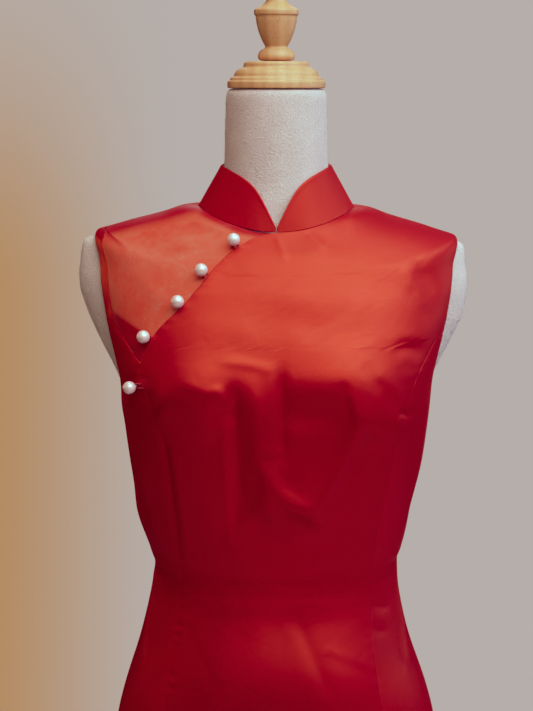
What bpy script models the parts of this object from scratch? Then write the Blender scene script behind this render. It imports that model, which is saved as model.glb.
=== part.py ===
"""Sleeveless knee-length cheongsam standing on a limbless dress form.

Sizes in the tables are millimetres and become metres when a mesh is made. The dress front faces -Y,
+X is the viewer's right, +Z is up, and the origin is on the floor under the middle of the round base.

Every cloth panel is a patch of one master surface. A station v is a closed ring round the body: below the
underarm it is level and v is its height, and above it the ring tilts until it becomes the neckline. The
angle on a ring is 0 at the front middle, 90 at the viewer's right side and 180 at the middle of the back.
A lift moves a point out along the ring surface's normal, so walls and layers never cross.
"""
import math
from collections import namedtuple

import bpy
import numpy as np

MM = 0.001
GAP = 0.3                 # between neighbouring pieces
SATIN = 1.2               # wall of the satin panels
ORGANZA = 1.0             # wall of the sheer yoke
COLLAR_WALL = 1.8
UNDERLAP_LIFT = -(SATIN + GAP + 0.1)   # outer face of the yoke where the flap covers it
YOKE_RAMP = (16.0, 44.0)  # distances from the flap over which the yoke comes up level with the satin

# ---------------------------------------------------------------- master surface
Station = namedtuple("Station", "v z_side front_drop back_drop half_width y_side y_front y_back "
                                "square_front square_back ease_side ease_front ease_back")
STATIONS = [
    #        v   z_side  front back half   side front  back  sqF   sqB  easeS F   B
    Station(500,  500,    0,    0,    166.0, 3,  -108,   112,   2.30, 2.30, 6.0, 6.0, 6.0),
    Station(620,  620,    0,    0,    169.5, 3,  -111,   117,   2.30, 2.30, 6.0, 6.0, 6.0),
    Station(740,  740,    0,    0,    174.0, 3,  -114,   123,   2.28, 2.30, 6.0, 6.0, 6.0),
    Station(820,  820,    0,    0,    175.0, 3,  -115.5, 126,   2.25, 2.30, 5.0, 5.0, 5.0),
    Station(864,  864,    0,    0,    169.8, 3,  -114.5, 124,   2.25, 2.30, 5.0, 5.5, 5.0),
    Station(907,  907,    0,    0,    157.8, 3,  -111,   117,   2.22, 2.30, 5.5, 6.5, 6.0),
    Station(947, 947,     0,    0,    143.8, 3,  -105,   106,   2.20, 2.25, 6.0, 7.5, 7.0),
    Station(988, 988,     0,    0,    133.6, 3,  -96.8,  94,    2.20, 2.20, 6.0, 7.5, 8.0),
    Station(1008, 1008,   0,    0,    130.2, 2.5, -93.3, 88,    2.20, 2.20, 6.0, 7.5, 8.0),
    Station(1027, 1027,   0,    0,    129.2, 2,  -92.4,  84,    2.20, 2.20, 6.0, 8.0, 8.0),
    Station(1045, 1045,   0,    0,    131.9, 2,  -94.6,  81,    2.21, 2.20, 6.8, 10.0,8.0),
    Station(1067, 1067,   0,    0,    137.8, 2,  -99.2,  80,    2.22, 2.20, 7.5, 14.0,8.0),
    Station(1106, 1106,   0,    0,    146.6, 2,  -108.4, 82,    2.25, 2.25, 8.5, 18.0,7.0),
    Station(1145, 1145,   0,    0,    152.9, 1,  -115.6, 86,    2.45, 2.30, 7.5, 17.0,6.0),
    Station(1184, 1184,   0,    0,    157.4, 0,  -120.6, 90,    2.62, 2.35, 6.0, 14.0,5.0),
    Station(1212, 1212,   0,    0,    159.8, 0,  -122.8, 92.5,  2.78, 2.40, 5.0, 10.0,4.5),
    Station(1240, 1240,   0,    0,    162.4, 0,  -123.2, 95,    2.88, 2.40, 4.0, 6.5, 4.0),
    Station(1250, 1250,   0.5,  0,    164.7, 0,  -122.2, 95.6,  2.88, 2.40, 3.8, 6.0, 4.0),
    Station(1265, 1265,   2,    0,    168.6, 0,  -119,   96.5,  2.84, 2.40, 3.5, 5.2, 4.0),
    Station(1290, 1290,   6,    0,    175.6, 0,  -113,   97.5,  2.74, 2.40, 3.5, 4.7, 4.0),
    Station(1315, 1315,   13,   1,    181.2, 0,  -106.5, 96.5,  2.62, 2.35, 3.2, 4.6, 4.2),
    Station(1340, 1340,   21,   2,    184.8, 0,  -100.5, 94,    2.48, 2.30, 3.5, 4.6, 4.6),
    Station(1362, 1361.5, 28,   5,    185.4, 0,  -94.5,  89.5,  2.38, 2.30, 4.4, 4.6, 5.0),
    Station(1383, 1381.5, 36,   9,    184.2, 0,  -88.5,  84,    2.30, 2.30, 4.6, 4.6, 5.2),
    Station(1386.5, 1383, 35.9, 8.8,  181.0, 0,  -87.9,  83.4,  2.30, 2.30, 4.5, 4.6, 5.1),
    Station(1391.5, 1384.6, 35.4, 8.4, 175.4, 0, -87.0,  82.5,  2.30, 2.30, 4.1, 4.6, 4.8),
    Station(1411, 1390.5, 33.5, 7,    156.0, 0,  -83.5,  79,    2.25, 2.25, 2.3, 4.5, 3.6),
    Station(1436, 1397.5, 30.5, 6.5,  131.0, 0,  -78.5,  74.5,  2.18, 2.18, 1.9, 4.2, 3.0),
    Station(1456, 1403.5, 29,   4.5,  111.0, 0,  -73.5,  70,    2.10, 2.10, 1.9, 3.9, 2.2),
    Station(1474, 1409.3, 27.5, 1.5,  92.5,  0,  -68.5,  65.5,  2.04, 2.04, 2.0, 4.2, 2.6),
    Station(1487, 1409.0, 22,   -3,   80.0,  0,  -65,    62,    2.00, 2.00, 2.3, 4.6, 2.6),
]
V_HEM = STATIONS[0].v
V_UNDERARM = 1203
V_TIP = 1383                # shoulder tip
V_NECK = STATIONS[-1].v
V_SLIT = 690                # top of the side slits
SLOPE_STEP, SLOPE_TURN = 0.5, 0.2   # steps over which slopes are taken
SIDE_FADE = (18.0, 52.0)    # distances from the side line over which folds and swells come in
FOLD_ENDS = (0.12, 0.22)    # a fold fades from before its end to inside it, as shares of its length
SHOULDER_TILT = 3.0         # the wearer's left shoulder hangs lower, the right one higher
TILT_REACH = 184.0
TILT_FROM = (1250.0, 1370.0)

Swell = namedtuple("Swell", "name x z side spread_x spread_z rise")
SWELLS = [
    Swell("bust right", -80, 1236, -1, 40, 38, 6.5),
    Swell("bust left", 80, 1236, -1, 40, 38, 6.5),
    Swell("hanging slack", 21, 1138, -1, 30, 30, 3.6),
    Swell("blade right", -72, 1318, 1, 38, 42, 3.0),
    Swell("blade left", 72, 1318, 1, 38, 42, 3.0),
]

# Largest folds: a soft ridge (+) or trough (-) along a bowed line. Side -1 is the front, +1 the back.
Fold = namedtuple("Fold", "name side x0 z0 x1 z1 bow width depth")
FOLDS = [
    Fold("long furrow", -1, -43, 1240, -41, 1090, -1, 7, -2.8),
    Fold("furrow ridge", -1, -23, 1248, -20, 1150, 2, 11, 2.4),
    Fold("middle crease", -1, 5, 1256, 5, 1165, 0, 8, -1.8),
    Fold("hollow under left bust", -1, 4, 1214, 66, 1214, 0, 17, -2.8),
    Fold("drag from bust", -1, 82, 1202, 42, 1122, 0, 9, 2.4),
    Fold("swag", -1, -16, 1165, 37, 1114, -9, 9, 2.6),
    Fold("under swag", -1, -20, 1104, 40, 1092, 8, 12, -2.2),
    Fold("hollow under right bust", -1, -108, 1216, -30, 1216, 0, 16, -2.6),
    Fold("waist hollow", -1, -95, 1040, 98, 1042, -3, 12, -1.2),
    Fold("belly edge", -1, -90, 1006, 92, 1004, 3, 10, 0.5),
    Fold("low diagonal", -1, 20, 1000, 56, 916, 0, 9, -0.6),
    Fold("armhole drag", -1, 138, 1350, 158, 1306, 3, 9, -1.2),
    Fold("armhole dent", -1, 116, 1276, 146, 1270, 2, 7, -1.2),
    Fold("collar drag right", -1, 74, 1396, 42, 1382, 0, 6, -0.7),
    Fold("back waist high", 1, -70, 1062, 74, 1056, 6, 12, 2.4),
    Fold("back waist low", 1, -84, 1016, 66, 1022, -5, 11, -2.2),
    Fold("back lengthways right", 1, -58, 1190, -50, 1090, 4, 12, -1.8),
    Fold("back lengthways left", 1, 62, 1200, 52, 1084, -4, 12, -1.8),
    Fold("back shoulder drag", 1, 96, 1340, 132, 1280, 3, 10, -1.5),
]

# Slack cloth at the sides above the waist: angle on the ring, height, spreads and rise.
Slack = namedtuple("Slack", "name angle z spread_angle spread_z rise")
SLACKS = [
    Slack("slack right side", -88, 1088, 16, 24, 3.4),
    Slack("kink right waist", -88, 1034, 18, 9, -2.2),
    Slack("hollow left side", 88, 1098, 16, 30, -2.6),
    Slack("slack right hip", -88, 966, 22, 62, 2.4),
    Slack("kink left waist", 88, 1040, 18, 10, -1.8),
    Slack("right panel ridge", -66, 1150, 5, 62, 2.0),
    Slack("right panel trough", -74, 1120, 5, 50, -1.6),
    Slack("left panel ridge", 70, 1096, 6, 46, 1.6),
]


def natural_spline(knots, values):
    """Return the natural cubic spline through the points as a function of one number or array."""
    knots = np.asarray(knots, float)
    values = np.asarray(values, float)
    step = np.diff(knots)
    count = len(knots)
    matrix = np.eye(count)
    right = np.zeros(count)
    for i in range(1, count - 1):
        matrix[i, i - 1:i + 2] = step[i - 1], 2 * (step[i - 1] + step[i]), step[i]
        right[i] = 6 * ((values[i + 1] - values[i]) / step[i] - (values[i] - values[i - 1]) / step[i - 1])
    bend = np.linalg.solve(matrix, right)

    def at(x):
        x = np.clip(np.asarray(x, float), knots[0], knots[-1])
        i = np.clip(np.searchsorted(knots, x) - 1, 0, count - 2)
        h, a, b = step[i], knots[i + 1] - x, x - knots[i]
        return ((bend[i] * a ** 3 + bend[i + 1] * b ** 3) / (6 * h)
                + (values[i] / h - bend[i] * h / 6) * a + (values[i + 1] / h - bend[i + 1] * h / 6) * b)
    return at


def smooth(x, low, high):
    """Return the smooth step of x from 0 at low to 1 at high."""
    t = np.clip((x - low) / (high - low), 0, 1)
    return t * t * (3 - 2 * t)


STATION_AT = {name: natural_spline([s.v for s in STATIONS], [getattr(s, name) for s in STATIONS])
              for name in Station._fields[1:]}


def shoulder_lean(v, x):
    """Return how far the shoulders' tilt lowers the ring's point at x."""
    amount = SHOULDER_TILT * smooth(v, *TILT_FROM)
    return amount * np.sign(x) * np.abs(np.asarray(x) / TILT_REACH) ** 1.5


def ring_point(v, angle):
    """Return the point of the plain ring surface at station v and an angle in degrees."""
    a = np.radians(angle)
    front = np.cos(a) >= 0
    depth = np.where(front, STATION_AT["y_side"](v) - STATION_AT["y_front"](v),
                     STATION_AT["y_back"](v) - STATION_AT["y_side"](v))
    square = np.where(front, STATION_AT["square_front"](v), STATION_AT["square_back"](v))
    drop = np.where(front, STATION_AT["front_drop"](v), STATION_AT["back_drop"](v))
    half = STATION_AT["half_width"](v)
    reach = (np.abs(np.sin(a) / half) ** square + np.abs(np.cos(a) / depth) ** square) ** (-1 / square)
    x = reach * np.sin(a)
    y = STATION_AT["y_side"](v) - reach * np.cos(a)
    share = np.abs(reach * np.cos(a)) / depth
    z = STATION_AT["z_side"](v) - drop * share ** 2
    z = z - shoulder_lean(v, x)
    return np.stack(np.broadcast_arrays(x, y, z), axis=-1)


def normal_of(surface, v, angle):
    """Return the outward unit normal of a surface given as a function of v and angle."""
    dv = np.where(np.asarray(v, float) > V_NECK - 1, -SLOPE_STEP, SLOPE_STEP)
    da = SLOPE_TURN
    along_v = (surface(v + dv, angle) - surface(v, angle)) * np.sign(dv)[..., None]
    along_a = surface(v, angle + da) - surface(v, angle - da)
    normal = np.cross(along_a, along_v)
    return normal / np.linalg.norm(normal, axis=-1, keepdims=True)


def side_fade(point):
    """Return 0 at the side seams and 1 over the front and back."""
    return smooth(np.abs(point[..., 1]), *SIDE_FADE)


def swell_height(point):
    """Return how far the bust and shoulder blades raise the surface."""
    total = 0
    for s in SWELLS:
        near = np.exp(-((point[..., 0] - s.x) / s.spread_x) ** 2 - ((point[..., 2] - s.z) / s.spread_z) ** 2)
        total = total + s.rise * near * (np.sign(point[..., 1]) == s.side)
    return total * side_fade(point)


def fold_height(point, angle):
    """Return how far the folds raise or sink the cloth."""
    x, z = point[..., 0], point[..., 2]
    total = 0
    for f in FOLDS:
        run = np.array([f.x1 - f.x0, f.z1 - f.z0], float)
        length = np.hypot(*run)
        run = run / length
        along = ((x - f.x0) * run[0] + (z - f.z0) * run[1]) / length
        across = -(x - f.x0) * run[1] + (z - f.z0) * run[0]
        across = across - f.bow * np.sin(np.pi * np.clip(along, 0, 1))
        before, inside = FOLD_ENDS
        ends = smooth(along, -before, inside) * (1 - smooth(along, 1 - inside, 1 + before))
        total = total + f.depth * np.exp(-(across / f.width) ** 2) * ends * (np.sign(point[..., 1]) == f.side)
    total = total * side_fade(point)
    turn = (np.asarray(angle, float) + 180) % 360 - 180
    for s in SLACKS:
        near = np.exp(-((turn - s.angle) / s.spread_angle) ** 2 - ((z - s.z) / s.spread_z) ** 2)
        total = total + s.rise * near
    return total


def body_point(v, angle):
    """Return the smooth surface with its swells, without folds."""
    base = ring_point(v, angle)
    return base + swell_height(base)[..., None] * normal_of(ring_point, v, angle)


def cloth_point(v, angle, lift):
    """Return the cloth's point at station v and angle, raised by lift from its outer face."""
    base = body_point(v, angle)
    height = fold_height(base, angle) + lift
    return base + height[..., None] * normal_of(body_point, v, angle)


# ---------------------------------------------------------------- pattern lines on the master surface
ARMHOLE_FRONT, ARMHOLE_BACK = 43.0, 47.0     # half depths of the armhole before and behind the side
BAND_WIDTH = 7.5
SLIT_HALF = 3.0
NARROW = 2.5                                # least width of a panel that runs out to a point

PatternPoint = namedtuple("PatternPoint", "x z")
RIGHT_PRINCESS = [PatternPoint(-110, 500), PatternPoint(-117, 620), PatternPoint(-122, 760),
                  PatternPoint(-119, 860), PatternPoint(-108.3, 933), PatternPoint(-101.9, 976),
                  PatternPoint(-97.6, 1010), PatternPoint(-97.2, 1040), PatternPoint(-98.1, 1060),
                  PatternPoint(-102.7, 1111), PatternPoint(-108.2, 1159), PatternPoint(-117.8, 1201),
                  PatternPoint(-130, 1236), PatternPoint(-136, 1254.5)]
LEFT_PRINCESS = [PatternPoint(110, 500), PatternPoint(115, 620), PatternPoint(118, 760),
                 PatternPoint(112, 860), PatternPoint(104.4, 919), PatternPoint(99, 960),
                 PatternPoint(96.4, 1000), PatternPoint(97.9, 1052), PatternPoint(102.6, 1088),
                 PatternPoint(108.3, 1119), PatternPoint(113.9, 1154), PatternPoint(127.2, 1211),
                 PatternPoint(143, 1252), PatternPoint(162, 1282)]
FLAP_EDGE = [PatternPoint(-136, 1254.5), PatternPoint(-133.6, 1265), PatternPoint(-128.7, 1276.4),
             PatternPoint(-121.8, 1287.8), PatternPoint(-114, 1297.6), PatternPoint(-105, 1306.2),
             PatternPoint(-95.1, 1315.2), PatternPoint(-86.3, 1324.7), PatternPoint(-77.6, 1334.6),
             PatternPoint(-68.9, 1345.2), PatternPoint(-60.6, 1355), PatternPoint(-50.4, 1365),
             PatternPoint(-38.8, 1373.7), PatternPoint(-27, 1380), PatternPoint(-14.5, 1384.6),
             PatternPoint(-1.5, 1387.6)]
YOKE_FOOT = [PatternPoint(-134.6, 1261), PatternPoint(-163, 1297.5)]


def on_front(x, z):
    """Return the station and angle of the front surface's point at x and height z."""
    low, high = float(V_HEM), float(V_NECK)
    for _ in range(50):
        v = (low + high) / 2
        square = float(STATION_AT["square_front"](v))
        half = float(STATION_AT["half_width"](v))
        share = max(1 - (abs(x) / half) ** square, 0) ** (1 / square) if abs(x) < half else 0.0
        level = STATION_AT["z_side"](v) - STATION_AT["front_drop"](v) * share ** 2
        if float(level - shoulder_lean(v, x)) < z:
            low = v
        else:
            high = v
    depth = float(STATION_AT["y_side"](v) - STATION_AT["y_front"](v))
    return v, math.degrees(math.atan2(x, max(share, 1e-4) * depth))


def pattern_line(points):
    """Return the angle of a pattern line at each station."""
    stations, angles = zip(*(on_front(p.x, p.z) for p in points))
    return natural_spline(stations, angles)


right_princess = pattern_line(RIGHT_PRINCESS)
left_princess = pattern_line(LEFT_PRINCESS)
flap_edge = pattern_line(FLAP_EDGE)
V_FLAP = on_front(*FLAP_EDGE[0])[0]            # the flap's free edge starts here
V_FOOT = on_front(*YOKE_FOOT[0])[0]            # the yoke's lower corner, at the flap's edge
V_FOOT_TOP = on_front(*YOKE_FOOT[1])[0]        # the yoke's foot meets the armhole
V_LEFT_TOP = 1281.0                            # the left princess seam meets the armhole
SEAM_END = 3.0                                 # height over which the seam turns into the armhole


def half_opening(v, side):
    """Return the half gap at the side line: slit, seam, armhole or shoulder seam."""
    slit = SLIT_HALF * np.clip((V_SLIT - v) / (V_SLIT - V_HEM), 0, 1)
    middle, half_height = (V_UNDERARM + V_TIP) / 2, (V_TIP - V_UNDERARM) / 2
    oval = np.sqrt(np.clip(1 - ((v - middle) / half_height) ** 2, 0, 1))
    depth = ARMHOLE_FRONT if side < 0 else ARMHOLE_BACK
    return np.maximum(np.maximum(slit, depth * oval), GAP / 2)


def reach_at(v, offset):
    """Return how far from the middle the front surface's point lies that is offset before the side line."""
    depth = float(STATION_AT["y_side"](v) - STATION_AT["y_front"](v))
    square = float(STATION_AT["square_front"](v))
    return float(STATION_AT["half_width"](v)) * (1 - (offset / depth) ** square) ** (1 / square)


def band_opening(v, width=BAND_WIDTH):
    """Return the half opening inside the armhole band, which is as wide as this seen from the front."""
    low = min(v, V_TIP)
    inner = reach_at(low, float(half_opening(low, -1))) - width
    half = float(STATION_AT["half_width"](v))
    if inner >= half:
        return GAP / 2
    depth = float(STATION_AT["y_side"](v) - STATION_AT["y_front"](v))
    square = float(STATION_AT["square_front"](v))
    return max(depth * (1 - (inner / half) ** square) ** (1 / square), GAP / 2)


def angle_off_side(v, offset, side, hand):
    """Return the angle of the point that lies offset before (side -1) or behind the side line."""
    depth = float(STATION_AT["y_side"](v) - STATION_AT["y_front"](v)) if side < 0 else \
        float(STATION_AT["y_back"](v) - STATION_AT["y_side"](v))
    square = float(STATION_AT["square_front" if side < 0 else "square_back"](v))
    half = float(STATION_AT["half_width"](v))
    x = half * (1 - (offset / depth) ** square) ** (1 / square)
    lean = math.degrees(math.atan2(offset, x))
    return hand * (90 - lean) if side < 0 else hand * (90 + lean)


def degrees_along(v, length):
    """Return roughly the turn, in degrees, of a length along ring v."""
    return math.degrees(length / float(STATION_AT["half_width"](v)))


def yoke_foot(v):
    """Return the angle of the line where the yoke's foot is sewn to the right side panel."""
    low = float(flap_edge(V_FOOT)) - degrees_along(V_FOOT, NARROW)
    top = angle_off_side(V_FOOT_TOP, float(band_opening(V_FOOT_TOP)), -1, -1)
    return low + (top - low) * (v - V_FOOT) / (V_FOOT_TOP - V_FOOT)


def left_seam(v):
    """Return the angle of the left princess seam, which runs out at the armhole."""
    return min(float(left_princess(v)), angle_off_side(v, float(half_opening(v, -1)), -1, 1)
               - degrees_along(v, NARROW + 1))


def yoke_lift(v, angle):
    """Return the lift of the yoke's outer face: level with the satin, but sunk where the flap lies."""
    point = ring_point(v, angle)
    away = np.radians(np.asarray(flap_edge(v)) - angle) * np.hypot(point[..., 0], point[..., 1])
    return UNDERLAP_LIFT * (1 - smooth(away, *YOKE_RAMP))


def spaced_angles(v, start, end, columns, trim_start, trim_end):
    """Return evenly spaced angles along ring v between two angles, trimmed by lengths at the ends."""
    fine = np.linspace(start, end, 241)
    points = ring_point(np.full(fine.shape, float(v)), fine)
    run = np.concatenate([[0], np.cumsum(np.linalg.norm(np.diff(points, axis=0), axis=1))])
    return np.interp(np.linspace(trim_start, run[-1] - trim_end, columns + 1), run, fine)


# ---------------------------------------------------------------- meshes
def material(name, colour, roughness, metallic=0.0, alpha=1.0):
    """Return a plain Principled material."""
    made = bpy.data.materials.new(name)
    made.use_nodes = True
    shader = made.node_tree.nodes["Principled BSDF"]
    shader.inputs["Base Color"].default_value = (*colour, 1.0)
    shader.inputs["Roughness"].default_value = roughness
    shader.inputs["Metallic"].default_value = metallic
    shader.inputs["Alpha"].default_value = alpha
    return made


def add_mesh(name, points, faces, finish, sharp_degrees=40):
    """Add a mesh object from points in millimetres."""
    mesh = bpy.data.meshes.new(name)
    mesh.from_pydata([tuple(float(c) * MM for c in p) for p in points], [], faces)
    mesh.validate()
    mesh.shade_smooth()
    mesh.set_sharp_from_angle(angle=math.radians(sharp_degrees))
    mesh.materials.append(finish)
    made = bpy.data.objects.new(name, mesh)
    bpy.context.scene.collection.objects.link(made)
    return made


def wall(name, outer, inner, finish):
    """Add a closed wall between two grids of points, each rows by columns."""
    rows, columns = outer.shape[:2]
    points = np.concatenate([outer.reshape(-1, 3), inner.reshape(-1, 3)])
    back = rows * columns

    def at(i, j):
        return i * columns + j

    faces = []
    for i in range(rows - 1):
        for j in range(columns - 1):
            a, b, c, d = at(i, j), at(i, j + 1), at(i + 1, j + 1), at(i + 1, j)
            faces += [(a, b, c), (a, c, d), (back + a, back + c, back + b), (back + a, back + d, back + c)]
    rim = ([at(0, j) for j in range(columns)] + [at(i, columns - 1) for i in range(1, rows)]
           + [at(rows - 1, j) for j in range(columns - 2, -1, -1)] + [at(i, 0) for i in range(rows - 2, 0, -1)])
    for here, there in zip(rim, rim[1:] + rim[:1]):
        faces += [(here, back + here, back + there), (here, back + there, there)]
    return add_mesh(name, points, faces, finish)


def panel(name, rows, start, end, columns, finish, trims=(GAP / 2, GAP / 2), thickness=SATIN, lift=0.0):
    """Add a cloth panel between two pattern lines, each a function of the station."""
    angles = np.array([spaced_angles(v, start(v), end(v), columns, *trims) for v in rows])
    stations = np.repeat(np.array(rows, float)[:, None], columns + 1, axis=1)
    outer = cloth_point(stations, angles, lift)
    inner = cloth_point(stations, angles, lift - thickness)
    wall(name, outer, inner, finish)
    return angles


def even(start, end, step):
    """Return evenly spaced stations from start up to, but without, end."""
    count = max(1, round((end - start) / step))
    return [start + (end - start) * i / count for i in range(count)]


SKIRT_STEP, BODY_STEP, CHEST_STEP = 52, 20, 15
V_SKIRT = 860
V_NEAR_TIP, V_PAST_TIP, V_ROUND_TIP = V_TIP - 5, V_TIP + 3.5, V_TIP + 6
V_BAND_TOP = 1390.3                            # the armhole band closes over the shoulder tip
V_SHOULDER = 1390.9
SHOULDER_ROWS = [V_SHOULDER, 1408, 1424, 1440, 1454, 1464, 1473, 1481]
FRONT_ROWS = (even(V_HEM, V_SKIRT, SKIRT_STEP) + even(V_SKIRT, V_UNDERARM, BODY_STEP)
              + even(V_UNDERARM, V_FLAP, CHEST_STEP) + even(V_FLAP, V_FOOT, CHEST_STEP)
              + even(V_FOOT, V_LEFT_TOP, CHEST_STEP) + [V_LEFT_TOP]
              + even(V_LEFT_TOP + SEAM_END, V_FOOT_TOP, CHEST_STEP)
              + even(V_FOOT_TOP, V_TIP, CHEST_STEP)
              + [V_NEAR_TIP, V_TIP, V_PAST_TIP, V_ROUND_TIP, V_BAND_TOP] + SHOULDER_ROWS + [V_NECK])
BACK_ROWS = (even(V_HEM, V_SKIRT, SKIRT_STEP) + even(V_SKIRT, V_UNDERARM, BODY_STEP)
             + even(V_UNDERARM, V_TIP, CHEST_STEP) + [V_NEAR_TIP, V_TIP, V_PAST_TIP] + SHOULDER_ROWS + [V_NECK])


def rows_between(low, high, low_trim=0.0, high_trim=0.0):
    """Return the front stations from low to high, with the end rows trimmed for a seam gap."""
    inside = [v for v in FRONT_ROWS if low + 1e-6 < v < high - 1e-6]
    return [low + low_trim] + inside + [high - high_trim]


def side_line(side, hand):
    """Return the angle of the panel edge at a side: side seam, armhole and shoulder seam."""
    return lambda v: angle_off_side(v, float(half_opening(v, side)), side, hand)


# ---------------------------------------------------------------- dress panels
FRONT_COLUMNS, SIDE_COLUMNS, BACK_COLUMNS, YOKE_COLUMNS = 17, 5, 17, 9


def front_left_edge(v):
    """Return the front panel's edge on the viewer's left: princess seam, then the flap's free edge."""
    return float(right_princess(v)) if v < V_FLAP else float(flap_edge(v))


def front_right_edge(v):
    """Return the front panel's edge on the viewer's right: princess seam, armhole, shoulder."""
    return left_seam(v) if v <= V_LEFT_TOP else side_line(-1, 1)(v)


def build_front(satin):
    """Add the centre front with its slanting flap; return its angles by row."""
    return panel("front_panel", FRONT_ROWS, front_left_edge, front_right_edge, FRONT_COLUMNS, satin)


def build_sides(satin):
    """Add the two side front panels."""
    def right_inner(v):
        if v < V_FLAP:
            return float(right_princess(v))
        if v < V_FOOT:
            return float(flap_edge(v))
        return yoke_foot(v)
    panel("side_front_right", rows_between(V_HEM, V_FOOT_TOP, 0, GAP / 2), side_line(-1, -1), right_inner,
          SIDE_COLUMNS, satin, (0.0, GAP / 2))

    panel("side_front_left", rows_between(V_HEM, V_LEFT_TOP, 0, GAP), left_seam, side_line(-1, 1),
          SIDE_COLUMNS, satin, (GAP / 2, 0.0))


def build_back(satin):
    """Add the back panel from side to side."""
    def first(v):
        return side_line(1, 1)(v)

    def last(v):
        return 360 + side_line(1, -1)(v)
    panel("back_panel", BACK_ROWS, first, last, BACK_COLUMNS, satin, (0.0, 0.0))


def build_yoke(organza, satin, front_angles):
    """Add the sheer yoke, whose last column lies under the flap, and its armhole band."""
    below = max(v for v in FRONT_ROWS if v < V_FOOT - 1e-6)
    rows = [below] + rows_between(V_FOOT, V_NECK)

    def outer_edge(v):
        if v < V_FOOT:
            return float(flap_edge(v)) + degrees_along(v, 0.5)
        if v < V_FOOT_TOP:
            return yoke_foot(v)
        if v < V_SHOULDER - 1e-6:
            return angle_off_side(v, float(band_opening(v, BAND_WIDTH + GAP)), -1, -1)
        return side_line(-1, -1)(v)

    first_angles = dict(zip(FRONT_ROWS, front_angles))
    angles = []
    for v in rows:
        edge, under = first_angles[v][:2]
        trim = GAP if v < V_FOOT_TOP else 0.0
        if v < V_FOOT:
            strip = np.linspace(outer_edge(v), outer_edge(v) + degrees_along(v, NARROW), YOKE_COLUMNS + 1)
            angles.append(np.append(strip, under))
        else:
            angles.append(np.append(spaced_angles(v, outer_edge(v), edge, YOKE_COLUMNS, trim, 0.0), under))
    angles = np.array(angles)
    stations = np.repeat(np.array(rows)[:, None], angles.shape[1], axis=1)
    lifts = yoke_lift(stations, angles)
    wall("yoke_panel", cloth_point(stations, angles, lifts),
         cloth_point(stations, angles, lifts - ORGANZA), organza)

    band_rows = rows_between(V_FOOT_TOP, V_BAND_TOP, GAP / 2, 0.0)
    panel("armhole_band", band_rows, side_line(-1, -1),
          lambda v: angle_off_side(v, float(band_opening(v)), -1, -1), 3, satin, (0.0, 0.0))


# ---------------------------------------------------------------- collar
COLLAR_TOP_HALF, COLLAR_TOP_FRONT, COLLAR_TOP_BACK = 56.2, -58.0, 57.0
COLLAR_TOP_Z, COLLAR_BACK_RISE, COLLAR_FRONT_FALL = 1451.0, 8.0, 9.0
COLLAR_FULL_ANGLE, COLLAR_END_ANGLE = 90.0, 0.45
EdgePoint = namedtuple("EdgePoint", "angle share")   # the front edge: share of the full height
COLLAR_EDGE = [
    EdgePoint(0, 0.07), EdgePoint(2.5, 0.17), EdgePoint(6, 0.31), EdgePoint(10, 0.46),
    EdgePoint(14, 0.59), EdgePoint(19.5, 0.73), EdgePoint(28.5, 0.86), EdgePoint(44, 0.95),
    EdgePoint(68, 0.995), EdgePoint(90, 1.0),
]
collar_share = natural_spline([p.angle for p in COLLAR_EDGE], [p.share for p in COLLAR_EDGE])
COLLAR_SEAM = 0.7            # leaves the usual gap to the flat facets of the neckline
COLLAR_COLUMNS_FRONT, COLLAR_COLUMNS_BACK, COLLAR_ROWS = 13, 12, 4
COLLAR_CROWDING = 1.7        # packs the front columns towards the middle, where the edge is steep


def collar_point(angle, height):
    """Return the collar's outer face at an angle and a share of its full height."""
    seam = cloth_point(V_NECK, angle, 0.0)
    inward = cloth_point(V_NECK, angle, 0.0) - cloth_point(V_NECK - 0.5, angle, 0.0)
    base = seam + COLLAR_SEAM * inward / np.linalg.norm(inward, axis=-1, keepdims=True)
    a = np.radians(angle)
    depth = np.where(np.cos(a) >= 0, -COLLAR_TOP_FRONT, COLLAR_TOP_BACK)
    reach = 1 / np.hypot(np.sin(a) / COLLAR_TOP_HALF, np.cos(a) / depth)
    rise = np.where(np.cos(a) >= 0, -COLLAR_FRONT_FALL, COLLAR_BACK_RISE) * np.cos(a) ** 2
    top = np.stack([reach * np.sin(a), -reach * np.cos(a), COLLAR_TOP_Z + rise], axis=-1)
    height = np.asarray(height)[..., None]
    return base + (top - base) * height


def build_collar(satin):
    """Add the stand collar, whose two front ends curve down to the middle of the neckline."""
    front = COLLAR_END_ANGLE + (COLLAR_FULL_ANGLE - COLLAR_END_ANGLE) * \
        np.linspace(0, 1, COLLAR_COLUMNS_FRONT + 1) ** COLLAR_CROWDING
    back = np.linspace(COLLAR_FULL_ANGLE, 360 - COLLAR_FULL_ANGLE, COLLAR_COLUMNS_BACK + 1)
    angles = np.concatenate([front[:-1], back, (360 - front[::-1])[1:]])
    off_middle = np.minimum(angles, 360 - angles)
    top = collar_share(np.minimum(off_middle, COLLAR_FULL_ANGLE))
    heights = np.linspace(0, 1, COLLAR_ROWS + 1)[:, None] * top[None, :]
    grid = np.repeat(angles[None, :], COLLAR_ROWS + 1, axis=0)
    outer = collar_point(grid, heights)
    along = collar_point(grid + 0.2, heights) - collar_point(grid - 0.2, heights)
    up = collar_point(grid, heights + 0.01) - collar_point(grid, heights)
    normal = np.cross(along, up)
    normal = normal / np.linalg.norm(normal, axis=-1, keepdims=True)
    wall("collar", outer, outer - COLLAR_WALL * normal, satin)


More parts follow.
